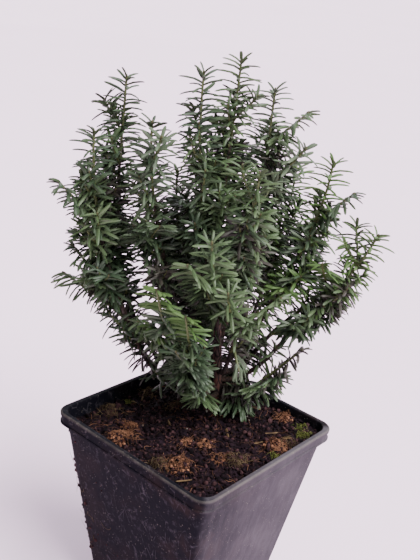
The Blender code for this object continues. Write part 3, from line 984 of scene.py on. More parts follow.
@dataclass(frozen=True)
class Opening:
    """A gap in the crown, in millimetres across and up from the collar as the eye sees it.

    A gap is either in front of the stem, which it shows, or goes right through the crown.
    Needles may hang into one that goes right through.
    """

    left: float
    right: float
    foot: float
    top: float
    shows_stem: bool = False

    def holds(self, beside: float, height: float, ahead: float) -> bool:
        """Say whether a point lies in it.

        Args:
            beside: How far right of the stem the point is seen, in metres.
            height: How far above the collar it is seen.
            ahead: How far in front of the stem it is.

        Returns:
            Whether it is in the gap.
        """
        if self.shows_stem and ahead < 3 * MM:
            return False
        return self.left < beside / MM < self.right and self.foot < height / MM < self.top


@dataclass
class Crown:
    """All the shoots that grow on from the boughs, their buds and their needles."""

    framework: Framework
    seed: int = 11
    gap: float = 0.3 * MM
    leader_points: int = 14
    leader_tip_radius: float = 0.6 * MM
    apex_reach: float = 3 * MM
    steep: float = 0.3
    low: float = 0.7
    first_twig: float = 30 * MM
    twig_spacing: float = 6.8 * MM
    twig_shortest: float = 14 * MM
    twig_growth: float = 0.28
    twig_longest: float = 28 * MM
    twig_angle: float = math.radians(36)
    twig_lift: float = 0.5
    twig_radius: float = 0.75 * MM
    twig_tip_radius: float = 0.45 * MM
    branchlet_from: float = 23 * MM
    upright_from: float = 0.80
    fresh_depth: float = 16 * MM
    bare_share: float = 0.25
    bare_below: float = 50 * MM
    vase_foot: float = 30 * MM
    vase_margin: float = 10 * MM
    vase_slope: float = 0.66
    eye: Vector = field(default_factory=lambda: Vector((0.239, -0.297, 0.347)))
    openings: tuple[Opening, ...] = (
        Opening(-5, 4, 6, 55, True), Opening(18, 27, 54, 66), Opening(21, 31, 40, 54), Opening(26, 33, 26, 36),
        Opening(-47, -33, 140, 180), Opening(-39, -29, 126, 142))
    needle_spacing: float = 0.90 * MM
    needle_lift_base: float = math.radians(57)
    needle_lift_tip: float = math.radians(20)
    needle_full_lift: float = 8 * MM
    needle_twist: float = math.radians(26)
    most_needles: int = 5400
    skirt_count: int = 12
    needle: Needle = field(default_factory=Needle)
    bends: tuple[tuple[float, float], ...] = ((3.0, 0.5), (4.8, -1.0), (6.0, 1.2), (7.0, -0.7), (8.0, 0.9))
    green: list[Limb] = field(default_factory=list)
    brown: list[Limb] = field(default_factory=list)
    sprays: list[Spray] = field(default_factory=list)

    def grow(self) -> None:
        """Grow every mass from its bough."""
        for name, plan in PLAN.items():
            chance = random.Random(f"{self.seed}-{name}")
            bough = self.framework.limbs[name]
            leaders = self._leaders(plan, bough)
            for number, leader in enumerate(leaders):
                self._dress_leader(leader, plan, number in plan.fresh, chance)
            self._inner_twigs(bough, chance)
            self.sprays.append(Spray(bough, chance.choice(INNER), True, bough.length * 0.55, 0.35))
        self._skirt(random.Random(self.seed))

    def _leader(self, start: Vector, heading: Vector, tip: Vector, radius: float) -> Limb:
        """Grow a leader that carries on in its first heading and ends upright, or at a low one's slant.

        Args:
            start: Its foot.
            heading: The direction in which it sets out.
            tip: The outermost point of its needles.
            radius: Its radius at the foot.

        Returns:
            The leader.
        """
        chord = tip - start
        span = chord.length
        outward = math.hypot(chord.x, chord.y) / span
        slant = smooth_step((outward - self.steep) / (self.low - self.steep))
        final = Vector((chord.x * slant, chord.y * slant, chord.z)).normalized()
        tip = tip - final * self.apex_reach
        points = interpolate_bezier(start, start + heading * span * 0.33, tip - final * span * 0.33, tip,
                                    self.leader_points)
        return Limb(points, list(np.linspace(radius, self.leader_tip_radius, self.leader_points)))

    def _leaders(self, plan: MassPlan, bough: Limb) -> list[Limb]:
        """Grow a mass's leaders.

        Args:
            plan: The mass's plan.
            bough: Its bough.

        Returns:
            The leaders, the one that carries on from the bough first.
        """
        tips = [place.point() for place in plan.leaders]
        end, heading, radius = bough.at(bough.length)
        main = self._leader(end - heading * self.gap, heading, tips[0], radius)
        leaders = [main]
        for tip in tips[1:]:
            best = 0.05
            for step in range(1, 16):
                point = main.at(main.length * step * 0.05)[0]
                if tip.z - point.z > math.hypot(tip.x - point.x, tip.y - point.y) * 1.1:
                    best = step * 0.05
            foot, direction, thickness = main.at(main.length * best)
            heading = (direction * 0.5 + (tip - foot).normalized()).normalized()
            leaders.append(self._leader(foot, heading, tip, thickness * 0.85))
        return leaders

    def _dress_leader(self, leader: Limb, plan: MassPlan, fresh: bool, chance: random.Random) -> None:
        """Give a leader its side twigs and its own spray.

        Args:
            leader: The leader.
            plan: Its mass's plan.
            fresh: Whether its top is in bright new growth.
            chance: The mass's seeded draws.
        """
        self._age(leader, 42 * MM)
        upright = leader.at(leader.length)[1].z > self.upright_from
        droop = 0.0 if upright else 0.25
        bare = leader.length * self.bare_share if leader.points[0].z < COLLAR.z + self.bare_below else 0.0
        start = self.fresh_depth if fresh else 0.0
        if fresh:
            self.sprays.append(Spray(leader, Tone.FRESH, False, leader.length - start, 0.3))
        self.sprays.append(Spray(leader, chance.choice(plan.tones), upright, bare, droop, start, False))
        turn = chance.uniform(0, math.tau)
        below = self.first_twig
        while below < leader.length - 3 * MM:
            turn += GOLDEN_ANGLE
            length = min(self.twig_shortest + self.twig_growth * (below - self.first_twig), self.twig_longest)
            twig = self._twig(leader, below, turn, length * chance.uniform(0.85, 1.1))
            if twig is not None:
                inner = chance.random() < below / leader.length - 0.35
                self._dress_twig(twig, chance.choice(INNER if inner else plan.tones), chance)
            below += self.twig_spacing * chance.uniform(0.8, 1.2)

    def _twig(self, leader: Limb, below: float, turn: float, length: float) -> Limb | None:
        """Grow a side twig by the rule of the solids, a little finer.

        Args:
            leader: What it leaves.
            below: How far below the leader's tip.
            turn: The way it faces round the leader.
            length: Its length.

        Returns:
            The twig, or None where it would run into the soil or the pot.
        """
        foot, direction, thickness = leader.at(leader.length - below)
        side = across(direction, Vector((math.cos(turn), math.sin(turn), self.twig_lift)))
        away = Vector((foot.x - COLLAR.x, foot.y - COLLAR.y, 0.0))
        if side.dot(away) < -0.3 * away.length:
            side = -side
        heading = direction * math.cos(self.twig_angle) + side * math.sin(self.twig_angle)
        final = (heading + UP * 0.8).normalized()
        end = foot + heading * length * 0.5 + final * length * 0.5
        points = interpolate_bezier(foot, foot + heading * length * 0.4, end - final * length * 0.35, end, 8)
        if not all(self._clear(point, 2 * MM) for point in points[2:]):
            return None
        if self._beyond(end, 0.0) or any(map(self._veils, points)):
            return None
        first = min(self.twig_radius, thickness * 0.9)
        return Limb(points, list(np.linspace(first, self.twig_tip_radius, 8)))

    def _dress_twig(self, twig: Limb, tone: Tone, chance: random.Random) -> None:
        """Give a twig its spray, and a longer one its branchlets.

        Args:
            twig: The twig.
            tone: Its spray's tone.
            chance: The mass's seeded draws.
        """
        self._age(twig, 28 * MM)
        upright = twig.at(twig.length)[1].z > self.upright_from
        self.sprays.append(Spray(twig, tone, upright, 0.0, 0.0 if upright else 0.15))
        if twig.length < self.branchlet_from:
            return
        for share, hand in ((0.38, 1), (0.60, -1)):
            foot, direction, thickness = twig.at(twig.length * share)
            side = direction.cross(UP).normalized() * hand
            angle = math.radians(chance.uniform(38, 52))
            heading = direction * math.cos(angle) + side * math.sin(angle) + UP * 0.12
            length = chance.uniform(9, 13) * MM
            end = foot + heading * length
            if not self._clear(end, 2 * MM):
                continue
            points = [foot.lerp(end, part / 3) for part in range(4)]
            branchlet = Limb(points, list(np.linspace(thickness * 0.85, self.twig_tip_radius, 4)))
            self.green.append(branchlet)
            self.sprays.append(Spray(branchlet, tone, False))

    def _inner_twigs(self, bough: Limb, chance: random.Random) -> None:
        """Grow the short, shaded twigs that the boughs carry low down.

        Args:
            bough: The bough.
            chance: The mass's seeded draws.
        """
        turn = chance.uniform(0, math.tau)
        along = bough.length * 0.30
        while along < bough.length:
            turn += GOLDEN_ANGLE
            twig = self._twig(bough, bough.length - along, turn, chance.uniform(13, 21) * MM)
            if twig is not None:
                self._dress_twig(twig, chance.choice(LOW), chance)
            along += 7.5 * MM * chance.uniform(0.8, 1.2)

    def _skirt(self, chance: random.Random) -> None:
        """Grow the low, hanging twigs round the stem's foot.

        Args:
            chance: Seeded draws.
        """
        stem = self.framework.limbs["stem"]
        for index in range(self.skirt_count):
            height = (5 + 13 * index / self.skirt_count) * MM
            foot, _, thickness = stem.at(height)
            angle = index * GOLDEN_ANGLE
            out = Vector((math.cos(angle), math.sin(angle), 0.0))
            end = foot + out * chance.uniform(17, 27) * MM + UP * chance.uniform(-1, 5) * MM
            knee = foot + (out + UP * 0.5) * 7 * MM
            points = interpolate_bezier(foot, knee, end - out * 5 * MM + UP * 3 * MM, end, 7)
            if any(map(self._veils, points)) or not all(self._clear(point, MM) for point in points[2:]):
                continue
            twig = Limb(points, list(np.linspace(min(self.twig_radius, thickness), self.twig_tip_radius, 7)))
            self.brown.append(twig)
            self.sprays.append(Spray(twig, chance.choice(FOOT), False, 3 * MM, 0.8))

    def _age(self, shoot: Limb, green_length: float) -> None:
        """Split a shoot into its green top and its brown foot.

        Args:
            shoot: The shoot.
            green_length: How much of it, from the tip, is green.
        """
        if shoot.length <= green_length:
            self.green.append(shoot)
            return
        cut = shoot.length - green_length
        lower = [i for i, along in enumerate(shoot.along) if along < cut]
        upper = [i for i, along in enumerate(shoot.along) if along > cut]
        point, _, radius = shoot.at(cut)
        overlap = shoot.at(cut - 0.5 * MM)[0]
        self.brown.append(Limb([shoot.points[i] for i in lower] + [point],
                               [shoot.radii[i] for i in lower] + [radius]))
        self.green.append(Limb([overlap] + [shoot.points[i] for i in upper],
                               [radius * 0.97] + [shoot.radii[i] for i in upper]))

    def _clear(self, point: Vector, margin: float) -> bool:
        """Say whether a point is clear of the soil and the pot.

        Args:
            point: The point.
            margin: How much room it needs.

        Returns:
            Whether it has that room.
        """
        if point.z > POT.height + margin:
            return True
        beside = max(abs(point.x), abs(point.y)) + margin
        inside = beside < POT.inner_half(POT.height)
        return inside and point.z - margin * 0.5 > soil_height(point.x, point.y)

    def _beyond(self, point: Vector, margin: float) -> bool:
        """Say whether a point lies outside the crown's narrow, vase-shaped foot.

        Args:
            point: The point.
            margin: How far outside it may be.

        Returns:
            Whether it lies further out.
        """
        reach = math.hypot(point.x - COLLAR.x, point.y - COLLAR.y)
        return reach > self.vase_foot + margin + self.vase_slope * (point.z - COLLAR.z)

    def _veils(self, point: Vector, by_needle: bool = False) -> bool:
        """Say whether a point lies in one of the crown's openings.

        Args:
            point: The point.
            by_needle: Whether it is a needle's, which only the stem's opening keeps out.

        Returns:
            Whether a needle or twig there would close a gap that the front shows.
        """
        out = point - COLLAR
        sight = self.eye - COLLAR
        distance = math.hypot(sight.x, sight.y)
        toward = Vector((sight.x / distance, sight.y / distance, 0.0))
        ahead = out.dot(toward)
        spread = distance / (distance - ahead)
        beside = (out.y * toward.x - out.x * toward.y) * spread
        height = sight.z + (out.z - sight.z) * spread
        return any(opening.holds(beside, height, ahead) for opening in self.openings
                   if opening.shows_stem or not by_needle)

    def _spray(self, spray: Spray, swarm: Swarm, chance: random.Random) -> None:
        """Set the needles of one shoot.

        Args:
            spray: The shoot and how its needles stand.
            swarm: The needles of its tone.
            chance: Seeded draws.
        """
        shoot = spray.shoot
        turn = chance.uniform(0, math.tau)
        below = spray.start + 0.3 * MM
        hand = 1
        while below < shoot.length - spray.bare - 1.0 * MM:
            root, direction, radius = shoot.at(shoot.length - below)
            share = min(below / self.needle_full_lift, 1.0)
            lift = self.needle_lift_tip + (self.needle_lift_base - self.needle_lift_tip) * share ** 0.6
            lift += math.radians(chance.uniform(-6, 6))
            turn += GOLDEN_ANGLE
            hand = -hand
            side = across(direction, Vector((math.cos(turn), math.sin(turn), 0.2)))
            if not spray.upright:
                flat = direction.cross(UP)
                flat = flat.normalized() if flat.length > 0.2 else side
                ranked = flat * hand + UP * chance.uniform(-0.05, 0.45)
                side = across(direction, ranked + side * 0.18)
            heading = (direction * math.cos(lift) + side * math.sin(lift) - UP * spray.droop).normalized()
            upper = across(heading, direction if spray.upright else direction * 0.4 + UP)
            far = root + heading * self.needle.length
            if not (spray.bound and share == 1.0 and self._beyond(far, self.vase_margin)):
                self._set_needle(root + side * radius * 0.6, heading, upper, share, swarm, chance)
            crowd = 0.6 if below < 3 * MM else 1.0
            age = 1 + 0.5 * below / (90 * MM)
            below += self.needle_spacing * crowd * chance.uniform(0.75, 1.25) * age

    def _set_needle(self, root: Vector, heading: Vector, upper: Vector, share: float, swarm: Swarm,
                    chance: random.Random) -> None:
        """Set one needle, lifted as far as the soil and the pot need, or none where there is no room.

        Args:
            root: Where its stalk starts.
            heading: Where it points.
            upper: Where its upper face looks.
            share: How far down the shoot it is, from 0 at the apex to 1.
            swarm: The needles of its tone.
            chance: Seeded draws.
        """
        length = self.needle.length * (0.58 + 0.42 * smooth_step(share * 1.4)) * chance.uniform(0.90, 1.07)
        half = self.needle.width / 2 * chance.uniform(0.90, 1.08)
        bend = min(int(share * 2.4 + chance.uniform(0, 2.99)), len(swarm.templates) - 1)
        length *= 1 - 0.003 * self.bends[bend][0] ** 2
        twisted = Matrix.Rotation(chance.gauss(0, self.needle_twist), 3, heading) @ upper
        if any(self._veils(root + heading * length * part, True) for part in (0.5, 1.0)):
            return
        for _ in range(3):
            tip = root + heading * length - upper * half * self.bends[bend][0]
            if self._clear(tip, 0.6 * MM) and self._clear(root + heading * length * 0.6, 0.6 * MM):
                upper = across(heading, twisted)
                swarm.add(bend, root, (upper.cross(heading), upper, heading), (half, half, length))
                return
            heading = (heading + UP * 0.5).normalized()
            bend = max(bend - 1, 0)

    def build(self) -> list[Piece]:
        """Make the shoots, the buds and the needles."""
        nodes = tuple(f"foliage_{name}" for name in PLAN)
        green = ShootSkin("green_shoots", (0.050, 0.070, 0.016), (0.076, 0.096, 0.026))
        brown = ShootSkin("brown_shoots", (0.034, 0.021, 0.012), (0.020, 0.012, 0.008))
        pieces = [
            Piece(piece_of("shoots_green", strand_mesh("shoots_green", self.green, 1), [green.make()]),
                  Slot.NEEDLES, nodes),
            Piece(piece_of("shoots_brown", strand_mesh("shoots_brown", self.brown, 1), [brown.make()]),
                  Slot.BARK),
        ]
        chance = random.Random(self.seed)
        templates = [self.needle.template(arch, sickle) for arch, sickle in self.bends]
        swarms = {tone: Swarm(templates) for tone in Tone}
        buds = Swarm([bud_template()])
        for spray in self.sprays:
            self._spray(spray, swarms[spray.tone], chance)
            tip, direction, radius = spray.shoot.at(spray.shoot.length)
            side = direction.orthogonal().normalized()
            size = radius * 1.25
            buds.add(0, tip, (side, direction.cross(side), direction), (size, size, size * 2.0))
        for tone, swarm in swarms.items():
            main, shade = NEEDLE_TOPS[tone]
            # The lower faces get painted shade: their second colour is dimmed.
            lift = NEEDLE_UNDERSIDE_PAINTED_SHADE
            below = tuple(value * lift for value in shade)
            skins = [NeedleSkin(f"needle_{tone.value}_upper", main, shade, 0.38, 0.24).make(),
                     NeedleSkin(f"needle_{tone.value}_lower", shade, below, 0.55, 0.15).make()]
            for number, part in enumerate(swarm.parts(self.most_needles), 1):
                pieces.append(Piece(part.mesh(f"needles_{tone.value}_{number}", skins), Slot.NEEDLES))
        bud_skin = ShootSkin("bud_scales", (0.060, 0.070, 0.018), (0.048, 0.030, 0.013))
        pieces.append(Piece(buds.mesh("buds", [bud_skin.make()]), Slot.NEEDLES))
        return pieces


def bud_template() -> Template:
    """Make a pointed bud of unit radius that stands on the origin along Z."""
    shape = bmesh.new()
    bmesh.ops.create_uvsphere(shape, u_segments=6, v_segments=5, radius=1.0)
    for corner in shape.verts:
        if corner.co.z > 0:
            corner.co.x *= 1 - 0.35 * corner.co.z
            corner.co.y *= 1 - 0.35 * corner.co.z
    return template_of(shape)


def template_of(shape: bmesh.types.BMesh) -> Template:
    """Turn a small shape into arrays of triangles.

    Args:
        shape: The shape, which is freed.

    Returns:
        The arrays.
    """
    bmesh.ops.triangulate(shape, faces=shape.faces)
    shape.verts.index_update()
    corners = np.array([tuple(corner.co) for corner in shape.verts])
    faces = np.array([[corner.index for corner in face.verts] for face in shape.faces])
    shape.free()
    return Template(corners, faces, np.zeros(len(faces), int))


@dataclass
class NurseryPot:
    """The tapered square shell with its turned-down rim band and drainage holes."""

    height: float = 120 * MM
    rim_side: float = 110 * MM
    rim_corner: float = 8 * MM
    band: float = 7 * MM
    proud: float = 2 * MM
    base_side: float = 70 * MM
    wall: float = 1 * MM
    floor: float = 1.2 * MM
    edge: float = 0.45 * MM
    bead: float = 2.6 * MM
    bead_step: float = 0.55 * MM
    corner_steps: int = 10
    drain_count: int = 8
    drain_radius: float = 4 * MM
    drain_ring: float = 24 * MM

    def outer_half(self, height: float) -> float:
        """Give half the body's outer side at a height."""
        top = self.rim_side / 2 - self.proud
        return self.base_side / 2 + (top - self.base_side / 2) * height / self.height

    def inner_half(self, height: float) -> float:
        """Give half the body's inner side at a height."""
        return self.outer_half(height) - self.wall

    def profile(self) -> list[tuple[float, float]]:
        """Trace the wall's section as half widths and heights, from the foot's edge to the floor's.

        Returns:
            The points, with every edge of the rim rounded.
        """
        rim = self.rim_side / 2
        shelf = self.height - self.wall
        band_foot = self.height - self.band
        foot = self.outer_half(0)
        bead_foot = self.height - self.bead
        points = [(foot - 0.8 * MM, 0.0), (foot - 0.2 * MM, 0.3 * MM), (foot, 1.0 * MM)]
        points += [(self.outer_half(shelf * part / 12), shelf * part / 12) for part in range(1, 12)]
        points += [(self.outer_half(shelf), shelf), (rim - self.wall, shelf)]
        points += [(rim - self.wall, band_foot + self.edge), (rim - self.wall / 2, band_foot)]
        points += [(rim - 0.1 * MM, band_foot + self.edge * 0.5), (rim - 0.1 * MM, band_foot + self.edge * 2.4)]
        points += [(rim - self.bead_step, band_foot + self.edge * 3.2), (rim - self.bead_step, bead_foot)]
        points += [(rim - 0.1 * MM, bead_foot + self.edge * 0.8)]
        points += self._arc(rim - self.edge * 2, self.height - self.edge * 2, self.edge * 2, 0, 90)
        inner = self.inner_half(self.height)
        points += self._arc(inner + self.edge, self.height - self.edge, self.edge, 90, 180)
        points += [(self.inner_half(self.height * part / 6), self.height * part / 6) for part in (5, 4, 3, 2, 1)]
        points.append((self.inner_half(self.floor), self.floor))
        return points

    @staticmethod
    def _arc(x: float, z: float, radius: float, start: float, stop: float) -> list[tuple[float, float]]:
        """Trace a round edge.

        Args:
            x: Its centre's half width.
            z: Its centre's height.
            radius: Its radius.
            start: Its first angle, in degrees.
            stop: Its last angle, in degrees.

        Returns:
            Five points.
        """
        angles = [math.radians(start + (stop - start) * step / 4) for step in range(5)]
        return [(x + radius * math.cos(angle), z + radius * math.sin(angle)) for angle in angles]

    def build(self) -> list[Piece]:
        """Make the shell and drill its holes."""
        points = self.profile()
        shape = bmesh.new()
        bmesh.ops.create_grid(shape, x_segments=1, y_segments=1, size=1.0)
        bmesh.ops.bevel(shape, geom=shape.verts, offset=2 * self.rim_corner / self.rim_side, affect="VERTICES",
                        segments=self.corner_steps, profile=0.5, material=-1, offset_type="OFFSET")
        for corner in shape.verts:
            corner.co.z = 0.0
        loop = [edge for edge in shape.edges if edge.is_boundary]
        bmesh.ops.scale(shape, verts=shape.verts, vec=(points[0][0], points[0][0], 1.0))
        rings = [loop]
        for (half, height), (next_half, next_height) in zip(points, points[1:]):
            grown = bmesh.ops.extrude_edge_only(shape, edges=rings[-1])["geom"]
            verts = [item for item in grown if isinstance(item, bmesh.types.BMVert)]
            ratio = next_half / half
            bmesh.ops.scale(shape, verts=verts, vec=(ratio, ratio, 1.0))
            bmesh.ops.translate(shape, verts=verts, vec=(0.0, 0.0, next_height - height))
            fresh = set(verts)
            rings.append([item for item in grown if isinstance(item, bmesh.types.BMEdge)
                          and item.verts[0] in fresh and item.verts[1] in fresh])
        bmesh.ops.edgeloop_fill(shape, edges=rings[-1])
        bmesh.ops.recalc_face_normals(shape, faces=shape.faces)
        mesh = bpy.data.meshes.new("pot_shell")
        shape.to_mesh(mesh)
        shape.free()
        pot = piece_of("pot_shell", mesh, [PotPlastic().make()], 40)
        self._drill(pot)
        return [Piece(pot, Slot.POT, ("pot",))]

    def _drill(self, pot: bpy.types.Object) -> None:
        """Cut the drainage holes.

        Args:
            pot: The shell.
        """
        drills = bmesh.new()
        for index in range(self.drain_count):
            angle = math.tau * (index + 0.5) / self.drain_count
            middle = Vector((math.cos(angle), math.sin(angle), 0.0)) * self.drain_ring
            bmesh.ops.create_cone(drills, cap_ends=True, segments=24, radius1=self.drain_radius,
                                  radius2=self.drain_radius, depth=4 * self.floor,
                                  matrix=Matrix.Translation(middle))
        mesh = bpy.data.meshes.new("drills")
        drills.to_mesh(mesh)
        drills.free()
        cutter = bpy.data.objects.new("drills", mesh)
        bpy.context.scene.collection.objects.link(cutter)
        cut = pot.modifiers.new("holes", "BOOLEAN")
        cut.operation = "DIFFERENCE"
        cut.object = cutter
        drilled = bpy.data.meshes.new_from_object(pot.evaluated_get(bpy.context.evaluated_depsgraph_get()))
        pot.modifiers.remove(cut)
        pot.data = drilled
        bpy.data.objects.remove(cutter)


POT = NurseryPot()


def soil_height(x: float, y: float) -> float:
    """Give the height of the root ball's top, as in the solids.

    Args:
        x: Where, along the pot.
        y: Where, across the pot.

    Returns:
        The height there.
    """
    out = math.hypot(x - COLLAR.x, y - COLLAR.y)
    lumps = math.sin(math.tau * x / (17 * MM)) * math.cos(math.tau * y / (17 * MM))
    share = smooth_step((out - 9 * MM) / (13 * MM))
    return SOIL_LEVEL + share * (0.046 * (x - COLLAR.x) + 0.7 * MM * (lumps - 1))


@dataclass(frozen=True)
class Clump:
    """A tuft of loose fibre on the soil: its place, its radius and its colour."""

    x: float
    y: float
    radius: float
    ginger: bool = True


@dataclass
class RootBall:
    """The peat that fills the pot, with its crumbs, fibres, tufts and white grains."""

    seed: int = 5
    cells: int = 120
    relief: float = 1.5 * MM
    clod: float = 3.6 * MM
    clod_height: float = 1.3 * MM
    mound: float = 0.34
    crumb_count: int = 3600
    fibre_count: int = 520
    fallen_count: int = 12
    grain_count: int = 12
    stuck_count: int = 64
    thread_count: int = 20
    clumps: tuple[Clump, ...] = (
        Clump(-19, -39, 7.5), Clump(-25, -28, 5), Clump(-44, -24, 6, False), Clump(20, -35, 8), Clump(12, -42, 5, False),
        Clump(7, -16, 3), Clump(15.5, -10, 4.5), Clump(37, -10, 5, False), Clump(30, -16, 3.5), Clump(42, 17, 6.5),
        Clump(44, 26, 4, False), Clump(27, 46, 5), Clump(-14, 45, 6), Clump(-43, 36, 6), Clump(-46, 8, 5, False),
        Clump(-24, 8, 4, False),
    )
    moss: tuple[Clump, ...] = (Clump(44, 39, 4), Clump(38, 44, 3), Clump(-47, -8, 2.5), Clump(48, 8, 2))

    def surface(self, x: float, y: float) -> float:
        """Give the height of the crumbly surface.

        Args:
            x: Where, along the pot.
            y: Where, across the pot.

        Returns:
            The height there.
        """
        point = Vector((x, y, 0.0))
        coarse = noise.fractal(point / (9 * MM), 0.8, 2.0, 4)
        fine = noise.fractal(point / (2.4 * MM), 0.7, 2.1, 3)
        near, _ = noise.voronoi(point / self.clod)
        clods = self.clod_height * (0.45 - near[0])
        heaps = 0.0
        for clump in self.clumps:
            out = math.hypot(x / MM - clump.x, y / MM - clump.y) / clump.radius
            heaps = max(heaps, clump.radius * MM * self.mound * math.exp(-1.6 * out * out))
        return soil_height(x, y) + self.relief * coarse * 0.6 + 0.45 * MM * fine + clods + heaps

    def build(self) -> list[Piece]:
        """Make the peat and all that lies on it."""
        chance = random.Random(self.seed)
        earth = self._earth()
        pieces = [Piece(piece_of("peat", earth, [Peat("peat").make()], 80), Slot.PEAT, ("root_ball",))]
        pieces += self._crumbs(chance)
        pieces += self._fibres(chance)
        pieces += self._fallen_needles(chance)
        return pieces

    def _earth(self) -> bpy.types.Mesh:
        """Make the body of the root ball with its crumbly top."""
        half = POT.inner_half(SOIL_LEVEL) - 0.35 * MM
        corner = POT.rim_corner - POT.wall
        shape = bmesh.new()
        bmesh.ops.create_grid(shape, x_segments=self.cells, y_segments=self.cells, size=half)
        for vert in shape.verts:
            centre = Vector((math.copysign(half - corner, vert.co.x), math.copysign(half - corner, vert.co.y), 0.0))
            out = vert.co - centre
            if abs(vert.co.x) > abs(centre.x) and abs(vert.co.y) > abs(centre.y) and out.length > corner:
                vert.co = centre + out.normalized() * corner
        for vert in shape.verts:
            vert.co.z = self.surface(vert.co.x, vert.co.y)
        edge = [item for item in shape.edges if item.is_boundary]
        grown = bmesh.ops.extrude_edge_only(shape, edges=edge)["geom"]
        verts = [item for item in grown if isinstance(item, bmesh.types.BMVert)]
        foot = POT.floor + 0.3 * MM
        ratio = (POT.inner_half(foot) - 0.35 * MM) / half
        for vert in verts:
            vert.co = Vector((vert.co.x * ratio, vert.co.y * ratio, foot))
        rim = [item for item in shape.edges if item.is_boundary]
        bmesh.ops.edgeloop_fill(shape, edges=rim)
        bmesh.ops.recalc_face_normals(shape, faces=shape.faces)
        mesh = bpy.data.meshes.new("peat")
        shape.to_mesh(mesh)
        shape.free()
        return mesh

    def _spot(self, chance: random.Random, margin: float) -> Vector:
        """Draw a place on the soil.

        Args:
            chance: Seeded draws.
            margin: How far from the wall it stays.

        Returns:
            The point on the surface.
        """
        half = POT.inner_half(SOIL_LEVEL) - margin
        x, y = chance.uniform(-half, half), chance.uniform(-half, half)
        return Vector((x, y, self.surface(x, y)))

    def _near(self, clump: Clump, chance: random.Random) -> Vector:
        """Draw a place in a tuft, closer together at its middle.

        Args:
            clump: The tuft.
            chance: Seeded draws.

        Returns:
            The point on the surface.
        """
        limit = POT.inner_half(SOIL_LEVEL) - 1.2 * MM
        out = clump.radius * MM * chance.random() ** 0.6
        angle = chance.uniform(0, math.tau)
        x = min(max(clump.x * MM + out * math.cos(angle), -limit), limit)
        y = min(max(clump.y * MM + out * math.sin(angle), -limit), limit)
        return Vector((x, y, self.surface(x, y)))

    def _wall_spot(self, chance: random.Random) -> tuple[Vector, Vector]:
        """Draw a place on the pot's outside, on or by the corner where dirt clings to it.

        Args:
            chance: Seeded draws.

        Returns:
            The point, and the direction out of the wall there.
        """
        height = chance.uniform(0.25, 0.92) * POT.height
        half = POT.outer_half(height)
        radius = half * POT.rim_corner / (POT.rim_side / 2)
        along = 24 * MM * chance.random() ** 1.4
        angle = math.radians(chance.uniform(190, 260))
        place = chance.random()
        if place < 0.3:
            return Vector((radius - half + along, -half, height)), Vector((0.0, -1.0, 0.0))
        if place < 0.4:
            return Vector((-half, radius - half + along, height)), Vector((-1.0, 0.0, 0.0))
        outward = Vector((math.cos(angle), math.sin(angle), 0.0))
        return Vector((radius - half, radius - half, height)) + outward * radius, outward

    def _thread(self, chance: random.Random) -> Limb:
        """Lay one dry root thread on the pot's outside.

        Args:
            chance: Seeded draws.

        Returns:
            The thread.
        """
        point, outward = self._wall_spot(chance)
        level = Vector((-outward.y, outward.x, 0.0))
        radius = chance.uniform(0.09, 0.16) * MM
        angle = chance.uniform(0, math.tau)
        bend = chance.uniform(-0.6, 0.6)
        step = chance.uniform(4, 11) * MM / 6
        point = point + outward * radius
        points = [point]
        for _ in range(6):
            angle += bend
            rise = step * math.sin(angle)
            ratio = POT.outer_half(point.z + rise) / POT.outer_half(point.z)
            point = Vector((point.x * ratio, point.y * ratio, point.z + rise)) + level * step * math.cos(angle)
            points.append(point)
        return Limb(points, list(np.linspace(radius, radius * 0.6, 7)))

    def _crumbs(self, chance: random.Random) -> list[Piece]:
        """Scatter the crumbs of peat, the ginger crumbs of the tufts and the white grains."""
        templates = [lump_template(seed) for seed in range(6)]
        dark, brown, ginger, grains = (Swarm(templates) for _ in range(4))
        for index in range(self.crumb_count):
            size = 0.35 * MM + 1.25 * MM * chance.random() ** 3
            drop_lump(dark if index % 3 else brown, self._spot(chance, 1.5 * MM), size, chance)
        for clump in self.clumps:
            for _ in range(int(clump.radius * 26)):
                size = 0.25 * MM + 0.75 * MM * chance.random() ** 2
                drop_lump(ginger if clump.ginger else brown, self._near(clump, chance), size, chance)
        for _ in range(self.grain_count):
            drop_lump(grains, self._spot(chance, 3 * MM), chance.uniform(0.4, 0.95) * MM, chance)
        for _ in range(self.stuck_count):
            drop_lump(brown, self._wall_spot(chance)[0], 0.3 * MM + 1.1 * MM * chance.random() ** 2, chance)
        finishes = (
            (dark, "crumbs_dark", Crumbs("crumb_dark", (0.0016, 0.0010, 0.0015), (0.0110, 0.0052, 0.0080))),
            (brown, "crumbs_brown", Crumbs("crumb_brown", (0.0085, 0.0042, 0.0056), (0.048, 0.022, 0.024))),
            (ginger, "crumbs_ginger", Crumbs("crumb_ginger", (0.040, 0.014, 0.009), (0.230, 0.108, 0.064))),
            (grains, "white_grains", Crumbs("white_grain", (0.10, 0.09, 0.08), (0.22, 0.20, 0.18), 1.2 * MM)),
        )
        return [Piece(swarm.mesh(name, [finish.make()]), Slot.PEAT) for swarm, name, finish in finishes]

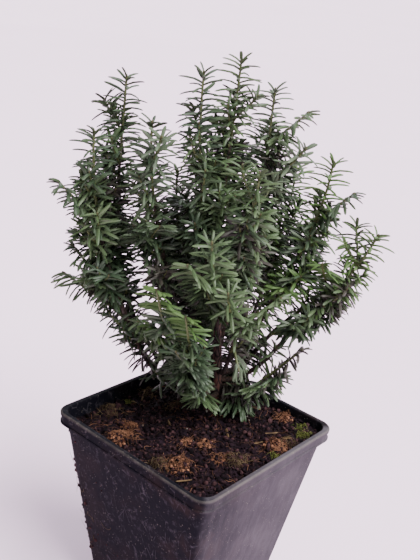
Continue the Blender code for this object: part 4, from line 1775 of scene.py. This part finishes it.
    def _fibre(self, start: Vector, length: float, radius: float, rise: float, chance: random.Random) -> Limb:
        """Lay one curling fibre on the soil.

        Args:
            start: Where it starts.
            length: Its length.
            radius: Its thickness.
            rise: How steeply it may stand up.
            chance: Seeded draws.

        Returns:
            The fibre.
        """
        limit = POT.inner_half(SOIL_LEVEL) - 0.8 * MM
        angle = chance.uniform(0, math.tau)
        bend = chance.uniform(-0.5, 0.5)
        climb = chance.uniform(0, rise)
        points = []
        point = start.copy()
        steps = 6
        for step in range(steps + 1):
            points.append(point.copy())
            angle += bend + chance.uniform(-0.25, 0.25)
            point += Vector((math.cos(angle), math.sin(angle), 0.0)) * length / steps
            point.x = min(max(point.x, -limit), limit)
            point.y = min(max(point.y, -limit), limit)
            arch = math.sin(math.pi * (step + 1) / steps) * climb * length
            point.z = self.surface(point.x, point.y) + radius + arch
        return Limb(points, list(np.linspace(radius, radius * 0.5, steps + 1)))

    def _fibres(self, chance: random.Random) -> list[Piece]:
        """Lay the loose fibres and make the tufts."""
        brown, ginger, tan, moss = [], [], [], []
        for index in range(self.fibre_count):
            target = (brown, brown, ginger)[index % 3]
            length, radius = chance.uniform(4, 15) * MM, chance.uniform(0.06, 0.17) * MM
            target.append(self._fibre(self._spot(chance, 2 * MM), length, radius, 0.12, chance))
        for clump in self.clumps:
            for _ in range(int(clump.radius * 17)):
                length, radius = chance.uniform(2.5, 7) * MM, chance.uniform(0.08, 0.2) * MM
                target = ginger if clump.ginger else tan
                target.append(self._fibre(self._near(clump, chance), length, radius, 0.42, chance))
        for clump in self.moss:
            for _ in range(int(clump.radius * 22)):
                length, radius = chance.uniform(1.5, 3.5) * MM, chance.uniform(0.1, 0.22) * MM
                moss.append(self._fibre(self._near(clump, chance), length, radius, 0.6, chance))
        tan += [self._thread(chance) for _ in range(self.thread_count)]
        finishes = (
            (brown, "fibres_brown", Crumbs("fibre_brown", (0.010, 0.0055, 0.0045), (0.045, 0.024, 0.016), 6 * MM)),
            (ginger, "fibres_ginger", Crumbs("fibre_ginger", (0.045, 0.018, 0.011), (0.175, 0.084, 0.048), 6 * MM)),
            (tan, "fibres_tan", Crumbs("fibre_tan", (0.030, 0.020, 0.011), (0.110, 0.078, 0.045), 6 * MM)),
            (moss, "moss", Crumbs("moss_green", (0.030, 0.038, 0.009), (0.120, 0.130, 0.036), 4 * MM)),
        )
        return [Piece(piece_of(name, strand_mesh(name, limbs, 0), [finish.make()]), Slot.PEAT)
                for limbs, name, finish in finishes]

    def _fallen_needles(self, chance: random.Random) -> list[Piece]:
        """Lay the dry needles that have dropped on the soil."""
        needle = Needle()
        swarm = Swarm([needle.template(1.5, 0.6), needle.template(-1.0, -0.8)])
        for _ in range(self.fallen_count):
            spot = self._spot(chance, 9 * MM)
            angle = chance.uniform(0, math.tau)
            heading = Vector((math.cos(angle), math.sin(angle), chance.uniform(-0.05, 0.22))).normalized()
            upper = across(heading, UP + Vector((chance.uniform(-0.5, 0.5), chance.uniform(-0.5, 0.5), 0.0)))
            length = needle.length * chance.uniform(0.55, 0.95)
            half = needle.width / 2 * chance.uniform(0.55, 0.8)
            swarm.add(chance.randrange(2), spot + UP * 0.7 * MM, (upper.cross(heading), upper, heading),
                      (half, half, length))
        dry = Crumbs("needle_dry", (0.040, 0.024, 0.014), (0.110, 0.070, 0.035), 5 * MM, 0.6)
        finish = dry.make()
        return [Piece(swarm.mesh("fallen_needles", [finish, finish]), Slot.NEEDLES)]


def lump_template(seed: int) -> Template:
    """Make an irregular lump of about unit radius.

    Args:
        seed: Which lump.

    Returns:
        The shape.
    """
    shape = bmesh.new()
    bmesh.ops.create_icosphere(shape, subdivisions=1, radius=1.0)
    for corner in shape.verts:
        corner.co *= 1 + 0.45 * noise.noise(corner.co * 1.7 + Vector((seed * 7.3, 0.0, 0.0)))
    return template_of(shape)


def drop_lump(swarm: Swarm, spot: Vector, size: float, chance: random.Random) -> None:
    """Drop one lump on the soil, turned and squashed at random.

    Args:
        swarm: The lumps that it joins.
        spot: Where it lies.
        size: Its radius.
        chance: Seeded draws.
    """
    axis = Vector((chance.gauss(0, 1), chance.gauss(0, 1), chance.gauss(0, 1))).normalized()
    side = axis.orthogonal().normalized()
    scale = [size * chance.uniform(0.65, 1.3) for _ in range(3)]
    swarm.add(chance.randrange(len(swarm.templates)), spot + UP * size * 0.35,
              (side, axis.cross(side), axis), scale)


@dataclass
class Studio:
    """The pale floor, the soft lights and the camera at the photograph's angle."""

    eye: Vector = field(default_factory=lambda: Vector((0.23897, -0.29701, 0.34743)))
    right: Vector = field(default_factory=lambda: Vector((0.74405, 0.65908, 0.10954)))
    up: Vector = field(default_factory=lambda: Vector((-0.31507, 0.20156, 0.92742)))
    lens: float = 51.1
    sensor: float = 36.0
    floor_radius: float = 4.0
    floor_reach: float = 60.0
    floor_rise: float = 4.0

    def build(self) -> None:
        """Set up the floor, the lights and the camera."""
        self._floor()
        self._sky()
        self._daylight("key", Vector((0.90, 0.15, 1.10)), 9.5, 50, (1.0, 0.98, 0.97))
        self._daylight("back", Vector((-0.55, 0.65, 1.0)), 2.5, 70, (0.96, 0.97, 1.0))
        camera = bpy.data.cameras.new("camera")
        camera.lens = self.lens
        camera.sensor_width = self.sensor
        camera.clip_start = 0.01
        holder = bpy.data.objects.new("camera", camera)
        back = self.right.cross(self.up)
        turned = Matrix((self.right, self.up, back)).transposed().to_4x4()
        holder.matrix_world = Matrix.Translation(self.eye) @ turned
        bpy.context.scene.collection.objects.link(holder)
        bpy.context.scene.camera = holder

    def _floor(self) -> None:
        """Lay the plain pale floor."""
        shape = bmesh.new()
        bmesh.ops.create_circle(shape, cap_ends=True, segments=96, radius=self.floor_radius)
        edge = [item for item in shape.edges if item.is_boundary]
        grown = bmesh.ops.extrude_edge_only(shape, edges=edge)["geom"]
        outer = [item for item in grown if isinstance(item, bmesh.types.BMVert)]
        ratio = self.floor_reach / self.floor_radius
        bmesh.ops.scale(shape, verts=outer, vec=(ratio, ratio, 1.0))
        bmesh.ops.translate(shape, verts=outer, vec=(0.0, 0.0, self.floor_rise))
        mesh = bpy.data.meshes.new("floor")
        shape.to_mesh(mesh)
        shape.free()
        recipe = Recipe("floor_paper")
        soft = recipe.grain(0.4, 2.0)
        tint = recipe.blend(soft, (0.880, 0.660, 0.850), (0.920, 0.695, 0.890))
        mesh.materials.append(recipe.finish(Base_Color=tint, Roughness=0.9))
        floor = bpy.data.objects.new("floor", mesh)
        bpy.context.scene.collection.objects.link(floor)

    def _sky(self) -> None:
        """Light the scene evenly from all round."""
        world = bpy.data.worlds.new("studio")
        world.use_nodes = True
        background = world.node_tree.nodes["Background"]
        background.inputs["Color"].default_value = (0.95, 0.93, 0.97, 1.0)
        background.inputs["Strength"].default_value = 0.6
        bpy.context.scene.world = world

    def _daylight(self, name: str, source: Vector, power: float, spread: float, colour: Colour) -> None:
        """Let soft light fall from one side.

        Args:
            name: The light's name.
            source: The direction that it comes from.
            power: Its strength.
            spread: How wide its source looks, in degrees.
            colour: Its colour.
        """
        light = bpy.data.lights.new(name, "SUN")
        light.energy = power
        light.angle = math.radians(spread)
        light.color = colour
        holder = bpy.data.objects.new(name, light)
        holder.location = source
        holder.rotation_mode = "QUATERNION"
        holder.rotation_quaternion = (-source).to_track_quat("-Z", "Y")
        bpy.context.scene.collection.objects.link(holder)


def write_sizes() -> None:
    """Bring the scene's placements up to date."""
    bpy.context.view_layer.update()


def main() -> None:
    """Build every part of the plant, its pot and the studio."""
    logging.basicConfig(level=logging.INFO, format="%(name)s: %(message)s")
    Studio().build()
    framework = Framework()
    framework.grow()
    crown = Crown(framework)
    crown.grow()
    for part in (POT, RootBall(), framework, crown):
        for piece in part.build():
            piece.hand_over()
    write_sizes()


if __name__ == "__main__":
    main()
